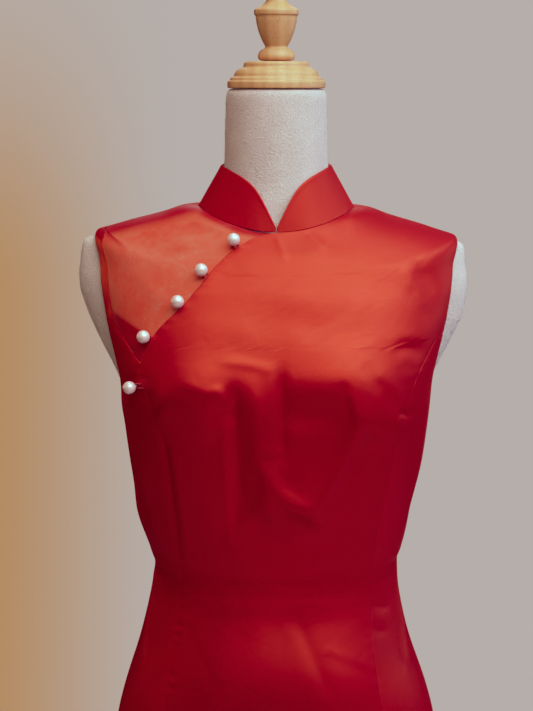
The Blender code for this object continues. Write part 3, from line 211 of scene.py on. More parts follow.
CREASES = table(                       # the finer creases and soft fullness between the folds
    Fold,
    ("hammock fullness", -1, -18, 1122, 48, 1116, -7, 21, 4.2),
    ("under hammock", -1, -34, 1086, 62, 1074, -8, 20, -1),
    ("right bust fullness", -1, 70, 1208, 126, 1194, 4, 22, 3.2),
    ("left bust fullness", -1, -122, 1222, -56, 1212, 4, 22, 3.2),
    ("swag foot", -1, 10, 1112, 54, 1103, -3, 9.5, 0.6),
    ("belly fullness", -1, -92, 926, 96, 922, 3, 52, 3.6),
    ("furrow rise", -1, -14, 1232, -12, 1120, 0, 11, 1.1),
    ("furrow floor", -1, -33, 1200, -32, 1100, 1, 7, -1),
    ("bright ridge top", -1, -62, 1243, -48, 1220, 2, 5.5, 1.3, 1.6),
    ("bright ridge crest", -1, -50, 1224, -45.5, 1080, -2, 4, 1.1, 1.3),
    ("furrow line", -1, -40, 1236, -38, 1112, 1, 5, -1.2, 1.6),
    ("ridge shadow low", -1, -40, 1162, -25, 1108, -2, 5, -1, 1.6),
    ("middle ridge", -1, -6, 1258, -5, 1150, 0, 5, 0.7, 1.6),
    ("middle shadow", -1, 4.5, 1262, 5, 1172, 0, 3.4, -1.25, 1.5),
    ("hollow edge", -1, 63, 1245, 73, 1203, 1, 4, -1.2, 1.4),
    ("hollow rim", -1, 70, 1238, 80, 1196, 1, 4, 0.9, 1.6),
    ("drag crest", -1, 84, 1204, 46, 1126, 1, 4, 0.6, 1.5),
    ("drag shadow", -1, 92, 1190, 54, 1112, 1, 6, -0.6, 1.8),
    ("swag crest", -1, -16, 1162, 38, 1115, -9, 8, 0.35),
    ("seam furrow left", -1, -113, 1190, -99.5, 1052, 1, 3.6, -1.1, 1.5),
    ("seam rise left", -1, -104, 1180, -91, 1060, 1, 5, 0.6, 1.8),
    ("swag shadow", -1, -10, 1138, 36, 1102, -6, 10, -0.45),
    ("short cross crease", -1, -21, 1180, 6, 1177, -1, 5, 0.35, 1.8),
    ("short cross shadow", -1, -19, 1170, 4, 1167, -1, 6, -0.3, 1.9),
    ("left lower crease a", -1, -79, 1115, -55, 1085, 1, 7, 0.5, 1.9),
    ("left lower crease b", -1, -53, 1083, -31, 1064, -1, 6, 0.55, 1.8),
    ("left lower shadow", -1, -70, 1095, -44, 1066, 0, 8, -0.5),
    ("waist gather a", -1, -92, 1046, -38, 1037, 2, 6, -0.35, 1.7),
    ("waist gather b", -1, -20, 1040, 40, 1034, -2, 6, -0.35, 1.7),
    ("waist gather c", -1, 44, 1046, 97, 1030, 2, 6.5, -0.35, 1.7),
    ("waist crest left", -1, -96, 1055, -52, 1049, 1, 5, 0.15, 1.6),
    ("waist crest right", -1, 30, 1052, 92, 1060, 2, 6, 0.15, 1.6),
    ("belly edge left", -1, -95, 1014, -40, 1008, 1, 4.2, 0.12, 1.5),
    ("belly edge middle", -1, -40, 1008, -10, 1014, -1, 4.2, 0.12, 1.5),
    ("belly edge right", -1, 0, 1012, 97, 1010, 2, 4.6, 0.12, 1.5),
    ("low diagonal", -1, 21, 999, 58, 914, -2, 4.4, -0.24, 1.7),
    ("low diagonal rim", -1, 12, 996, 46, 912, -2, 7.5, 0.1, 1.9),
    ("low wrinkle", -1, 42, 968, 97, 942, 2, 5, 0.14, 1.8),
    ("low wrinkle shadow", -1, 46, 960, 96, 934, 2, 6, -0.14, 1.8),
    ("belly left drag", -1, -92, 985, -62, 936, -2, 6, -0.25, 1.7),
    ("belly left crest", -1, -80, 984, -50, 930, -2, 6, 0.22, 1.7),
    ("bust fall left", -1, -56, 1266, -4, 1257, 2, 5, 0.7, 1.7),
    ("bust arc left", -1, -95, 1246, -47, 1221, 5, 5, 0.5, 1.6),
    ("bust arc shadow", -1, -98, 1236, -60, 1212, 4, 6, -0.5, 1.8),
    ("bust pull right", -1, 86, 1216, 99, 1186, 0, 3.4, 0.8, 1.4),
    ("bust blotch right", -1, 96, 1256, 126, 1224, 1, 7, 0.5, 1.8),
    ("bust dip right", -1, 84, 1262, 104, 1238, 0, 6, -0.5, 1.8),
    ("armhole trough a", -1, 139, 1362, 159, 1325, 1, 7, -0.75, 1.9),
    ("armhole ridge a", -1, 126, 1354, 148, 1310, 1, 7, 0.65, 1.9),
    ("armhole trough b", -1, 132, 1334, 154, 1297, 1, 6, -0.75, 1.8),
    ("armhole dent a", -1, 119, 1274, 140, 1273, 1, 4.4, -0.3, 1.5),
    ("armhole dent b", -1, 124, 1260, 137, 1250, 1, 4, -0.25, 1.5),
    ("armhole crest", -1, 108, 1284, 146, 1286, 3, 6, 0.3, 1.8),
    ("side dent", -1, 120, 1214, 133, 1205, 0, 4.6, -1, 1.6),
    ("collar pull middle", -1, 0, 1383, 9, 1360, 0, 3.2, 0.6, 1.5),
    ("collar pull right", -1, 30, 1386, 48, 1372, 0, 3.6, 0.6, 1.6),
    ("collar pull left", -1, -84, 1396, -44, 1384, 1, 3.6, 0.8, 1.5),
    ("yoke drape a", -1, -150, 1352, -112, 1318, 3, 8, 0.6, 1.9),
    ("yoke drape b", -1, -140, 1380, -96, 1366, -3, 9, -0.6, 1.9),
    ("chest soft a", -1, -40, 1352, 30, 1322, 5, 18, 0.6),
    ("chest soft b", -1, 40, 1366, 118, 1330, -5, 16, -0.7),
    ("chest soft c", -1, -88, 1300, -20, 1290, 4, 14, 0.6),
    ("chest soft d", -1, 20, 1300, 96, 1290, -4, 14, -0.6),
    ("seam dent high", -1, 99, 1003, 116, 995, 0, 3.6, -0.45, 1.5),
    ("seam dent low", -1, 98, 978, 115, 972, 0, 3.6, -0.4, 1.5),
    ("skirt fall a", -1, -62, 900, -70, 640, 6, 20, 1.6),
    ("skirt fall b", -1, -18, 880, -10, 560, -6, 22, -1.8),
    ("skirt fall c", -1, 34, 870, 44, 520, 7, 20, 1.8),
    ("skirt fall d", -1, 84, 820, 92, 510, -5, 18, -1.6),
    ("skirt drag", -1, -96, 838, -30, 812, 5, 12, -0.8, 1.9),
    ("skirt sitting crease", -1, 10, 800, 96, 786, -4, 10, 0.7, 1.7),
    ("hem ripple a", -1, -92, 600, -98, 498, 2, 16, 1.6),
    ("hem ripple b", -1, 10, 590, 14, 498, -2, 18, -1.6),
    ("back waist a", 1, -86, 1064, -14, 1046, 6, 5.5, 1.3, 1.5),
    ("back waist b", 1, -60, 1052, 34, 1036, -5, 6, -1.3, 1.6),
    ("back waist c", 1, 8, 1066, 92, 1052, 5, 5.5, 1.2, 1.5),
    ("back waist d", 1, -94, 1024, -30, 1030, 4, 5, 1, 1.5),
    ("back waist e", 1, 20, 1020, 98, 1012, -4, 6, 1, 1.6),
    ("back waist f", 1, -40, 1004, 44, 998, 6, 7, -0.9, 1.7),
    ("back drag right", 1, -110, 1120, -60, 1068, 3, 6, 0.9, 1.6),
    ("back drag left", 1, 112, 1126, 66, 1074, -3, 6, 0.9, 1.6),
    ("back middle ridge", 1, -6, 1180, -2, 1084, 1, 5, 0.8, 1.6),
    ("back middle shadow", 1, 8, 1176, 8, 1092, 1, 6, -0.8, 1.7),
    ("blade pull right", 1, -128, 1338, -96, 1284, 4, 6, 0.8, 1.7),
    ("blade pull left", 1, 126, 1342, 92, 1282, -4, 6, -0.8, 1.7),
    ("back neck pull", 1, -34, 1404, 30, 1402, -5, 8, 0.7, 1.8),
    ("back yoke soft", 1, -70, 1372, 64, 1366, 8, 16, -0.7),
    ("seat fall a", 1, -70, 900, -64, 600, 5, 22, 1.8),
    ("seat fall b", 1, -14, 890, -22, 560, -5, 20, -2),
    ("seat fall c", 1, 46, 900, 54, 540, 6, 22, 1.8),
    ("seat drag", 1, -60, 906, 60, 898, -8, 12, -0.9, 1.9),
    ("back hem ripple", 1, 96, 590, 102, 498, -2, 16, -1.6),
)
DENTS = table(                         # the finer slack at the sides
    Slack,
    ("right panel lump", -79, 1206, 5, 14, 1),
    ("right panel fold a", -70, 1140, 2.6, 46, 1.1),
    ("right panel fold b", -74.5, 1128, 2.4, 50, -1.1),
    ("right panel fold c", -79, 1100, 2.6, 30, 0.9),
    ("right panel waist a", -72, 1052, 9, 4.5, -1),
    ("right panel waist b", -80, 1024, 8, 4, -0.9),
    ("right panel hip", -70, 968, 3.5, 40, 0.7),
    ("left panel fold a", 66, 1170, 3, 30, -0.9),
    ("left panel fold b", 72, 1120, 2.8, 44, 1),
    ("left panel fold c", 78, 1084, 3, 34, -0.9),
    ("left panel waist a", 74, 1048, 9, 4.5, 1),
    ("left panel waist b", 70, 1026, 8, 4.5, -0.9),
    ("left panel hip", 72, 960, 3.5, 44, -0.7),
    ("right back side a", -104, 1080, 6, 9, 1.3),
    ("right back side b", -108, 1046, 7, 6, -1.2),
    ("left back side a", 106, 1074, 6, 8, 1.2),
    ("left back side b", 103, 1040, 7, 6, -1.2),
    ("right skirt fall", -84, 660, 5, 130, 1.6),
    ("left skirt fall", 82, 640, 5, 130, 1.6),
    ("right skirt back fall", -112, 640, 6, 140, -1.6),
    ("left skirt back fall", 114, 660, 6, 130, -1.5),
)


# ---------------------------------------------------------------- the master surface
class Spline:
    """Natural cubic spline through points, for a number or an array."""

    def __init__(self, knots: Sequence[float], values: Sequence[float]) -> None:
        """Solve the spline's bends.

        Args:
            knots: Rising places.
            values: The value at each place.
        """
        self.knots = np.asarray(knots, float)
        self.values = np.asarray(values, float)
        self.step = np.diff(self.knots)
        count = len(self.knots)
        matrix, right = np.eye(count), np.zeros(count)
        for i in range(1, count - 1):
            before, after = self.step[i - 1], self.step[i]
            matrix[i, i - 1:i + 2] = before, 2 * (before + after), after
            rise = (self.values[i + 1] - self.values[i]) / after
            right[i] = 6 * (rise - (self.values[i] - self.values[i - 1]) / before)
        self.bend = np.linalg.solve(matrix, right)

    def __call__(self, x: float | np.ndarray) -> np.ndarray:
        """Return the spline's value at x, held beyond its ends."""
        k, f, m = self.knots, self.values, self.bend
        x = np.clip(np.asarray(x, float), k[0], k[-1])
        i = np.clip(np.searchsorted(k, x) - 1, 0, len(k) - 2)
        h, a, b = self.step[i], k[i + 1] - x, x - k[i]
        return ((m[i] * a ** 3 + m[i + 1] * b ** 3) / (6 * h)
                + (f[i] / h - m[i] * h / 6) * a + (f[i + 1] / h - m[i + 1] * h / 6) * b)


def smooth(x: np.ndarray | float, low: float, high: float) -> np.ndarray:
    """Return the smooth step of x from 0 at low to 1 at high."""
    t = np.clip((np.asarray(x, float) - low) / (high - low), 0, 1)
    return t * t * (3 - 2 * t)


def unit(vectors: np.ndarray) -> np.ndarray:
    """Return vectors at length 1."""
    return vectors / np.linalg.norm(vectors, axis=-1, keepdims=True)


@dataclass
class MasterSurface:
    """The one surface that every panel is cut from, with its folds and creases."""

    slope_step: float = 0.5
    slope_turn: float = 0.2
    side_fade: tuple[float, float] = (18.0, 52.0)
    crease_gain: float = 1.5
    fold_ends: tuple[float, float] = (0.12, 0.22)
    tilt: float = 3.0
    tilt_reach: float = 184.0
    tilt_power: float = 1.5
    tilt_from: tuple[float, float] = (1250.0, 1370.0)

    def __post_init__(self) -> None:
        """Make a spline of each column of the station table."""
        self.at = {name: Spline([s.v for s in STATIONS], [getattr(s, name) for s in STATIONS])
                   for name in Station._fields[1:]}

    def lean(self, v: np.ndarray, x: np.ndarray) -> np.ndarray:
        """Return how far the shoulders' tilt lowers the ring's point at x."""
        share = np.abs(x / self.tilt_reach) ** self.tilt_power
        return self.tilt * smooth(v, *self.tilt_from) * np.sign(x) * share

    def ring(self, v: np.ndarray, angle: np.ndarray) -> np.ndarray:
        """Return the plain ring surface's points."""
        a = np.radians(angle)
        front = np.cos(a) >= 0
        y_side, half = self.at["y_side"](v), self.at["half_width"](v)
        depth = np.where(front, y_side - self.at["y_front"](v), self.at["y_back"](v) - y_side)
        square = np.where(front, self.at["square_front"](v), self.at["square_back"](v))
        drop = np.where(front, self.at["front_drop"](v), self.at["back_drop"](v))
        reach = (np.abs(np.sin(a) / half) ** square + np.abs(np.cos(a) / depth) ** square) ** (-1 / square)
        x = reach * np.sin(a)
        share = np.abs(reach * np.cos(a)) / depth
        z = self.at["z_side"](v) - drop * share ** 2 - self.lean(v, x)
        return np.stack(np.broadcast_arrays(x, y_side - reach * np.cos(a), z), axis=-1)

    def normal(self, surface: Callable, v: np.ndarray, angle: np.ndarray) -> np.ndarray:
        """Return the outward unit normal of a surface given as a function of v and angle."""
        dv = np.where(np.asarray(v, float) > V_NECK - 1, -self.slope_step, self.slope_step)
        along_v = (surface(v + dv, angle) - surface(v, angle)) * np.sign(dv)[..., None]
        along_a = surface(v, angle + self.slope_turn) - surface(v, angle - self.slope_turn)
        return unit(np.cross(along_a, along_v))

    def body(self, v: np.ndarray, angle: np.ndarray) -> np.ndarray:
        """Return the smooth body surface with its swells, without folds."""
        base = self.ring(v, angle)
        total = np.zeros(base.shape[:-1])
        for s in SWELLS:
            near = np.exp(-((base[..., 0] - s.x) / s.spread_x) ** 2
                          - ((base[..., 2] - s.z) / s.spread_z) ** 2)
            total += s.rise * near * (np.sign(base[..., 1]) == s.side)
        total = total * smooth(np.abs(base[..., 1]), *self.side_fade)
        return base + total[..., None] * self.normal(self.ring, v, angle)

    def line_height(self, point: np.ndarray, line: Fold) -> np.ndarray:
        """Return how far one fold or crease raises or sinks the cloth at the body's points."""
        x, z = point[..., 0], point[..., 2]
        run = np.array([line.x1 - line.x0, line.z1 - line.z0], float)
        length = float(np.hypot(*run))
        run = run / length
        along = ((x - line.x0) * run[0] + (z - line.z0) * run[1]) / length
        across = -(x - line.x0) * run[1] + (z - line.z0) * run[0]
        across = across - line.bow * np.sin(np.pi * np.clip(along, 0, 1))
        before, inside = self.fold_ends
        ends = smooth(along, -before, inside) * (1 - smooth(along, 1 - inside, 1 + before))
        shape = np.exp(-np.abs(across / line.width) ** line.crisp)
        return line.depth * shape * ends * (np.sign(point[..., 1]) == line.side)

    def relief(self, point: np.ndarray, angle: np.ndarray, fine: bool) -> np.ndarray:
        """Return how far the folds, and the finer creases if asked, raise or sink the cloth."""
        total = sum(self.line_height(point, line) for line in FOLDS)
        if fine:
            total = total + self.crease_gain * sum(self.line_height(point, line) for line in CREASES)
        total = total * smooth(np.abs(point[..., 1]), *self.side_fade)
        turn = (np.asarray(angle, float) + 180) % 360 - 180
        for s in SLACKS + DENTS if fine else SLACKS:
            near = ((turn - s.angle) / s.spread_angle) ** 2 + ((point[..., 2] - s.z) / s.spread_z) ** 2
            total = total + s.rise * np.exp(-near)
        return total

    def cloth(self, v: np.ndarray, angle: np.ndarray, lift: np.ndarray | float,
              fine: bool = True) -> np.ndarray:
        """Return the cloth's points.

        Args:
            v: Stations.
            angle: Angles on the rings, in degrees.
            lift: Distance out from the cloth's outer face.
            fine: Whether the finer creases count.

        Returns:
            The points, in millimetres.
        """
        v, angle = np.broadcast_arrays(np.asarray(v, float), np.asarray(angle, float))
        base = self.body(v, angle)
        height = self.relief(base, angle, fine) + lift
        return base + height[..., None] * self.normal(self.body, v, angle)


BODY = MasterSurface()


# ---------------------------------------------------------------- pattern lines, by x and z of their points
RIGHT_PRINCESS = (
    (-110, 500), (-117, 620), (-122, 760), (-119, 860), (-108.3, 933), (-101.9, 976), (-97.6, 1010),
    (-97.2, 1040), (-98.1, 1060), (-102.7, 1111), (-108.2, 1159), (-117.8, 1201), (-130, 1236),
    (-136, 1254.5),
)
LEFT_PRINCESS = (
    (110, 500), (115, 620), (118, 760), (112, 860), (104.4, 919), (99, 960), (96.4, 1000), (97.9, 1052),
    (102.6, 1088), (108.3, 1119), (113.9, 1154), (127.2, 1211), (143, 1252), (162, 1282),
)
FLAP_EDGE = (
    (-136, 1254.5), (-133.6, 1265), (-128.7, 1276.4), (-121.8, 1287.8), (-114, 1297.6), (-105, 1306.2),
    (-95.1, 1315.2), (-86.3, 1324.7), (-77.6, 1334.6), (-68.9, 1345.2), (-60.6, 1355), (-50.4, 1365),
    (-38.8, 1373.7), (-27, 1380), (-14.5, 1384.6), (-1.5, 1387.6),
)
YOKE_FOOT = ((-134.6, 1261), (-163, 1297.5))


@dataclass
class Pattern:
    """The cut lines of the dress on the master surface, each an angle at a station."""

    armhole_front: float = 43.0
    armhole_back: float = 47.0
    band_width: float = 9.3
    slit_half: float = 3.0
    narrow: float = 2.5
    left_top: float = 1281.0
    seam_end: float = 3.0
    shoulder: float = 1390.9
    band_top: float = 1390.3
    halvings: int = 40

    def __post_init__(self) -> None:
        """Turn the tables' points into lines on the surface."""
        self.right_princess = self.line(RIGHT_PRINCESS)
        self.left_princess = self.line(LEFT_PRINCESS)
        self.flap_edge = self.line(FLAP_EDGE)
        self.flap = self.on_front(*FLAP_EDGE[0])[0]
        self.foot = self.on_front(*YOKE_FOOT[0])[0]
        self.foot_top = self.on_front(*YOKE_FOOT[1])[0]

    def half(self, v: float, side: int) -> tuple[float, float, float]:
        """Return the front half's or back half's depth, squareness and half width at station v."""
        name = "front" if side < 0 else "back"
        depth = side * (float(BODY.at["y_" + name](v)) - float(BODY.at["y_side"](v)))
        return depth, float(BODY.at["square_" + name](v)), float(BODY.at["half_width"](v))

    def on_front(self, x: float, z: float) -> tuple[float, float]:
        """Return the station and angle of the front surface's point at x and height z."""
        low, high = float(V_HEM), float(V_NECK)
        for _ in range(self.halvings):
            v = (low + high) / 2
            depth, square, half = self.half(v, -1)
            share = max(1 - (abs(x) / half) ** square, 0) ** (1 / square) if abs(x) < half else 0.0
            level = BODY.at["z_side"](v) - BODY.at["front_drop"](v) * share ** 2
            if float(level - BODY.lean(v, x)) < z:
                low = v
            else:
                high = v
        return v, math.degrees(math.atan2(x, max(share, 1e-4) * depth))

    def line(self, points: Points) -> Spline:
        """Return the angle of a pattern line at each station."""
        return Spline(*zip(*(self.on_front(x, z) for x, z in points)))

    def half_opening(self, v: float, side: int) -> float:
        """Return the half gap at the side line: slit, seam, armhole or shoulder seam."""
        slit = self.slit_half * min(max((V_SLIT - v) / (V_SLIT - V_HEM), 0), 1)
        depth = self.armhole_front if side < 0 else self.armhole_back
        middle, half = (V_UNDERARM + V_TIP) / 2, (V_TIP - V_UNDERARM) / 2
        return max(slit, depth * math.sqrt(max(1 - ((v - middle) / half) ** 2, 0.0)), GAP / 2)

    def band_opening(self, v: float, width: float) -> float:
        """Return the half opening inside the armhole band, which is as wide as this seen from the front."""
        low = min(v, V_TIP)
        depth, square, half = self.half(low, -1)
        inner = half * (1 - (self.half_opening(low, -1) / depth) ** square) ** (1 / square) - width
        depth, square, half = self.half(v, -1)
        if inner >= half:
            return GAP / 2
        return max(depth * (1 - (inner / half) ** square) ** (1 / square), GAP / 2)

    def off_side(self, v: float, offset: float, side: int, hand: int) -> float:
        """Return the angle of the point that lies offset before (side -1) or behind the side line."""
        depth, square, half = self.half(v, side)
        x = half * (1 - (offset / depth) ** square) ** (1 / square)
        return hand * (90 + side * math.degrees(math.atan2(offset, x)))

    def side(self, side: int, hand: int) -> Line:
        """Return the line of a panel's edge at a side: side seam, armhole and shoulder seam."""
        return lambda v: self.off_side(v, self.half_opening(v, side), side, hand)

    def band_edge(self, width: float) -> Line:
        """Return the line that lies a width inside the armhole's front edge, on the viewer's left."""
        return lambda v: self.off_side(v, self.band_opening(v, width), -1, -1)

    def turn(self, v: float, length: float) -> float:
        """Return roughly the turn, in degrees, of a length along ring v."""
        return math.degrees(length / float(BODY.at["half_width"](v)))

    def left_seam(self, v: float) -> float:
        """Return the left princess seam, which runs out at the armhole."""
        armhole = self.side(-1, 1)(v)
        return min(float(self.left_princess(v)), armhole - self.turn(v, self.narrow + 1))

    def front_left(self, v: float) -> float:
        """Return the front's edge on the viewer's left: princess seam, then the flap's free edge."""
        return float(self.right_princess(v)) if v < self.flap else float(self.flap_edge(v))

    def front_right(self, v: float) -> float:
        """Return the front's edge on the viewer's right: princess seam, armhole, shoulder."""
        if v <= self.left_top:
            return self.left_seam(v)
        share = min((v - self.left_top) / self.seam_end, 1.0)
        return (1 - share) * self.left_seam(self.left_top) + share * self.side(-1, 1)(v)

    def yoke_foot(self, v: float) -> float:
        """Return the line where the yoke's foot is sewn to the right side panel."""
        low = float(self.flap_edge(self.foot)) - self.turn(self.foot, self.narrow)
        top = self.band_edge(self.band_width)(self.foot_top)
        return low + (top - low) * (v - self.foot) / (self.foot_top - self.foot)

    def right_inner(self, v: float) -> float:
        """Return the right side panel's inner edge: princess seam, flap, then the yoke's foot."""
        return self.front_left(v) if v < self.foot else self.yoke_foot(v)

    def yoke_outer(self, v: float) -> float:
        """Return the yoke's outer edge: foot, armhole band and shoulder seam."""
        if v < self.foot_top:
            return self.yoke_foot(v)
        edge = self.band_edge(self.band_width + GAP) if v < self.shoulder - 1e-6 else self.side(-1, -1)
        return edge(v)


CUT = Pattern()


# ---------------------------------------------------------------- meshes
def placed(name: str, data: bpy.types.ID) -> bpy.types.Object:
    """Return a new object of some data, in the scene and at the origin."""
    made = bpy.data.objects.new(name, data)
    bpy.context.scene.collection.objects.link(made)
    return made


def mesh_object(name: str, points: np.ndarray, faces: Sequence, uv: np.ndarray | None = None,
                layers: dict[str, np.ndarray] | None = None) -> bpy.types.Object:
    """Make a smooth mesh object.

    Args:
        name: The piece's name.
        points: Points in millimetres.
        faces: Faces as point numbers.
        uv: The pattern's place of each point, in metres.
        layers: Numbers for each point, by attribute name.

    Returns:
        The object, at the origin.
    """
    mesh = bpy.data.meshes.new(name)
    mesh.from_pydata((np.asarray(points) * MM).tolist(), [], [tuple(int(i) for i in f) for f in faces])
    if uv is not None:
        corner = np.empty(len(mesh.loops), dtype=np.int64)
        mesh.loops.foreach_get("vertex_index", corner)
        mesh.uv_layers.new(name="UVMap").data.foreach_set("uv", uv[corner].astype(np.float32).ravel())
    for layer, values in (layers or {}).items():
        mesh.attributes.new(layer, "FLOAT", "POINT").data.foreach_set("value", values.astype(np.float32))
    mesh.shade_smooth()
    mesh.update()
    return placed(name, mesh)


def profile_object(name: str, profile: Points) -> bpy.types.Object:
    """Make the points of a profile of (radius, height), in millimetres."""
    return mesh_object(name + "_profile", np.array([(r, 0.0, z) for r, z in profile]), [])


def path_object(name: str, paths: Sequence[np.ndarray]) -> bpy.types.Object:
    """Make a curve object of open paths, in millimetres."""
    curve = bpy.data.curves.new(name + "_path", "CURVE")
    curve.dimensions = "3D"
    for path in paths:
        line = curve.splines.new("POLY")
        line.points.add(len(path) - 1)
        line.points.foreach_set("co", np.column_stack([path * MM, np.ones(len(path))]).ravel())
    return placed(name + "_path", curve)


def wall_faces(rows: int, columns: int) -> list[tuple[int, ...]]:
    """Return the faces of a closed wall between an outer and an inner grid of points."""
    grid = np.arange(rows * columns).reshape(rows, columns)
    a, b, c, d = grid[:-1, :-1], grid[:-1, 1:], grid[1:, 1:], grid[1:, :-1]
    back = rows * columns
    outer = np.stack([a, b, c, d], axis=-1).reshape(-1, 4)
    inner = np.stack([a, d, c, b], axis=-1).reshape(-1, 4) + back
    rim = np.concatenate([grid[0], grid[1:, -1], grid[-1, -2::-1], grid[-2:0:-1, 0]])
    ahead = np.roll(rim, -1)
    edge = np.stack([rim, rim + back, ahead + back, ahead], axis=-1)
    return np.concatenate([outer, inner, edge]).tolist()


def wall(name: str, outer: np.ndarray, inner: np.ndarray, uv: np.ndarray,
         layers: dict[str, np.ndarray]) -> bpy.types.Object:
    """Make a closed wall between two grids of points.

    Args:
        name: The piece's name.
        outer: The outer face's grid, in millimetres.
        inner: The inner face's grid.
        uv: The pattern's place of each grid point, in metres.
        layers: Numbers for each grid point, by attribute name.

    Returns:
        The wall.
    """
    points = np.concatenate([outer.reshape(-1, 3), inner.reshape(-1, 3)])
    doubled = {layer: np.tile(values.ravel(), 2) for layer, values in layers.items()}
    faces = wall_faces(*outer.shape[:2])
    return mesh_object(name, points, faces, np.tile(uv.reshape(-1, 2), (2, 1)), doubled)


def finish_piece(piece: bpy.types.Object, slot: Slot, *nodes: str) -> bpy.types.Object:
    """Fix a piece to the body and hide the CAD nodes it stands for."""
    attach(piece, "root")
    if nodes:
        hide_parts(*nodes)
    LOG.info("%s: %d faces", piece.name, len(piece.data.polygons))
    return piece


def hang(piece: bpy.types.Object, finish: bpy.types.Material, slot: Slot, node: str) -> bpy.types.Object:
    """Finish a cut piece of cloth that hangs on the form.

    Args:
        piece: The piece.
        finish: Its material.
        slot: Its slot, which is not used.
        node: The CAD node it stands for.

    Returns:
        The piece.
    """
    piece.data.materials.append(finish)
    finish_piece(piece, slot, node)
    return piece


# ---------------------------------------------------------------- node trees
Socket = bpy.types.NodeSocket
Colour = tuple[float, float, float]


class Net:
    """A node tree that is being wired."""

    def __init__(self, tree: bpy.types.NodeTree) -> None:
        """Keep the tree."""
        self.tree = tree

    def add(self, kind: str, inputs: dict | None = None, **settings: object) -> bpy.types.Node:
        """Add a node.

        Args:
            kind: The node's type.
            inputs: Socket name or number to a value, or to an output socket to link.
            settings: The node's own properties.

        Returns:
            The node.
        """
        node = self.tree.nodes.new(kind)
        for name, value in settings.items():
            setattr(node, name, value)
        for key, value in (inputs or {}).items():
            if isinstance(value, Socket):
                self.tree.links.new(value, node.inputs[key])
            else:
                node.inputs[key].default_value = value
        return node

    def math(self, operation: str, *values: object) -> Socket:
        """Return the output of a Math node over values or sockets."""
        return self.add("ShaderNodeMath", dict(enumerate(values)), operation=operation).outputs[0]

    def weigh(self, *parts: tuple[Socket, float]) -> Socket:
        """Return the weighted sum of several values."""
        *others, total = [self.math("MULTIPLY", value, weight) for value, weight in parts]
        for other in reversed(others):
            total = self.math("ADD", other, total)
        return total

    def join(self, x: object, y: object, z: object) -> Socket:
        """Return a vector of three values or sockets."""
        return self.add("ShaderNodeCombineXYZ", {0: x, 1: y, 2: z}).outputs[0]

    def split(self, vector: Socket) -> bpy.types.Node:
        """Return a node whose outputs are the parts of a vector."""
        return self.add("ShaderNodeSeparateXYZ", {0: vector})

    def noise(self, place: Socket, scale: Colour, detail: float = 2.0, distort: float = 0.0) -> Socket:
        """Return a noise of the given scale along each axis, from 0 to 1."""
        spread = self.add("ShaderNodeMapping", {"Vector": place, "Scale": scale})
        return self.add("ShaderNodeTexNoise", {"Vector": spread.outputs[0], "Scale": 1.0, "Detail": detail,
                                               "Distortion": distort}).outputs[0]

    def shift(self, value: Socket, low: float, high: float, start: float = 0.3, end: float = 0.7,
              curve: str = "LINEAR") -> Socket:
        """Return a value spread from start..end to low..high."""
        return self.add("ShaderNodeMapRange", {"Value": value, "From Min": start, "From Max": end,
                                               "To Min": low, "To Max": high},
                        interpolation_type=curve).outputs[0]

    def blend(self, share: Socket, first: Colour | Socket, second: Colour) -> Socket:
        """Return a mix of two colours."""
        mix = self.add("ShaderNodeMix", {"Factor": share}, data_type="RGBA")
        for socket, colour in ((mix.inputs[6], first), (mix.inputs[7], second)):
            if isinstance(colour, Socket):
                self.tree.links.new(colour, socket)
            else:
                socket.default_value = (*colour, 1.0)
        return mix.outputs[2]

    def bumps(self, *layers: tuple[Socket, float, float]) -> Socket:
        """Return the normal after several bumps, each (height, strength, depth in metres)."""
        under: dict = {}
        for height, strength, depth in layers:
            bump = self.add("ShaderNodeBump", {"Height": height, "Strength": strength, "Distance": depth,
                                               **under})
            under = {"Normal": bump.outputs[0]}
        return under["Normal"]


class GeometryRecipe:
    """A geometry node tree with named inputs, applied to an object and turned into a plain mesh."""

    name: ClassVar[str]
    inputs: ClassVar[dict[str, str]]

    def __init__(self) -> None:
        """Build the tree: its inputs, the recipe's own nodes, then real smooth geometry with its material."""
        self.tree = bpy.data.node_groups.new(self.name, "GeometryNodeTree")
        face = self.tree.interface
        face.new_socket("Geometry", in_out="INPUT", socket_type="NodeSocketGeometry")
        self.keys = {label: face.new_socket(label, in_out="INPUT", socket_type="NodeSocket" + kind).identifier
                     for label, kind in {**self.inputs, "Material": "Material"}.items()}
        face.new_socket("Geometry", in_out="OUTPUT", socket_type="NodeSocketGeometry")
        net = Net(self.tree)
        given = net.add("NodeGroupInput").outputs
        real = net.add("GeometryNodeRealizeInstances", {0: self.wire(net, given)})
        soft = net.add("GeometryNodeSetShadeSmooth", {0: real.outputs[0]})
        done = net.add("GeometryNodeSetMaterial", {0: soft.outputs[0], "Material": given["Material"]})
        net.add("NodeGroupOutput", {0: done.outputs[0]})

    def wire(self, net: Net, given: bpy.types.NodeOutputs) -> Socket:
        """Add the recipe's own nodes and return their geometry."""
        raise NotImplementedError

    def make(self, source: bpy.types.Object, name: str, **values: object) -> bpy.types.Object:
        """Run the tree on an object.

        Args:
            source: The object that the tree reads; it is removed.
            name: The piece's name.
            values: The tree's inputs, by name.

        Returns:
            A plain mesh object at the origin.
        """
        modifier = source.modifiers.new(self.name, "NODES")
        modifier.node_group = self.tree
        for label, value in values.items():
            modifier[self.keys[label]] = value
        graph = bpy.context.evaluated_depsgraph_get()
        mesh = bpy.data.meshes.new_from_object(source.evaluated_get(graph), depsgraph=graph)
        mesh.name = name
        bpy.data.objects.remove(source)
        return placed(name, mesh)


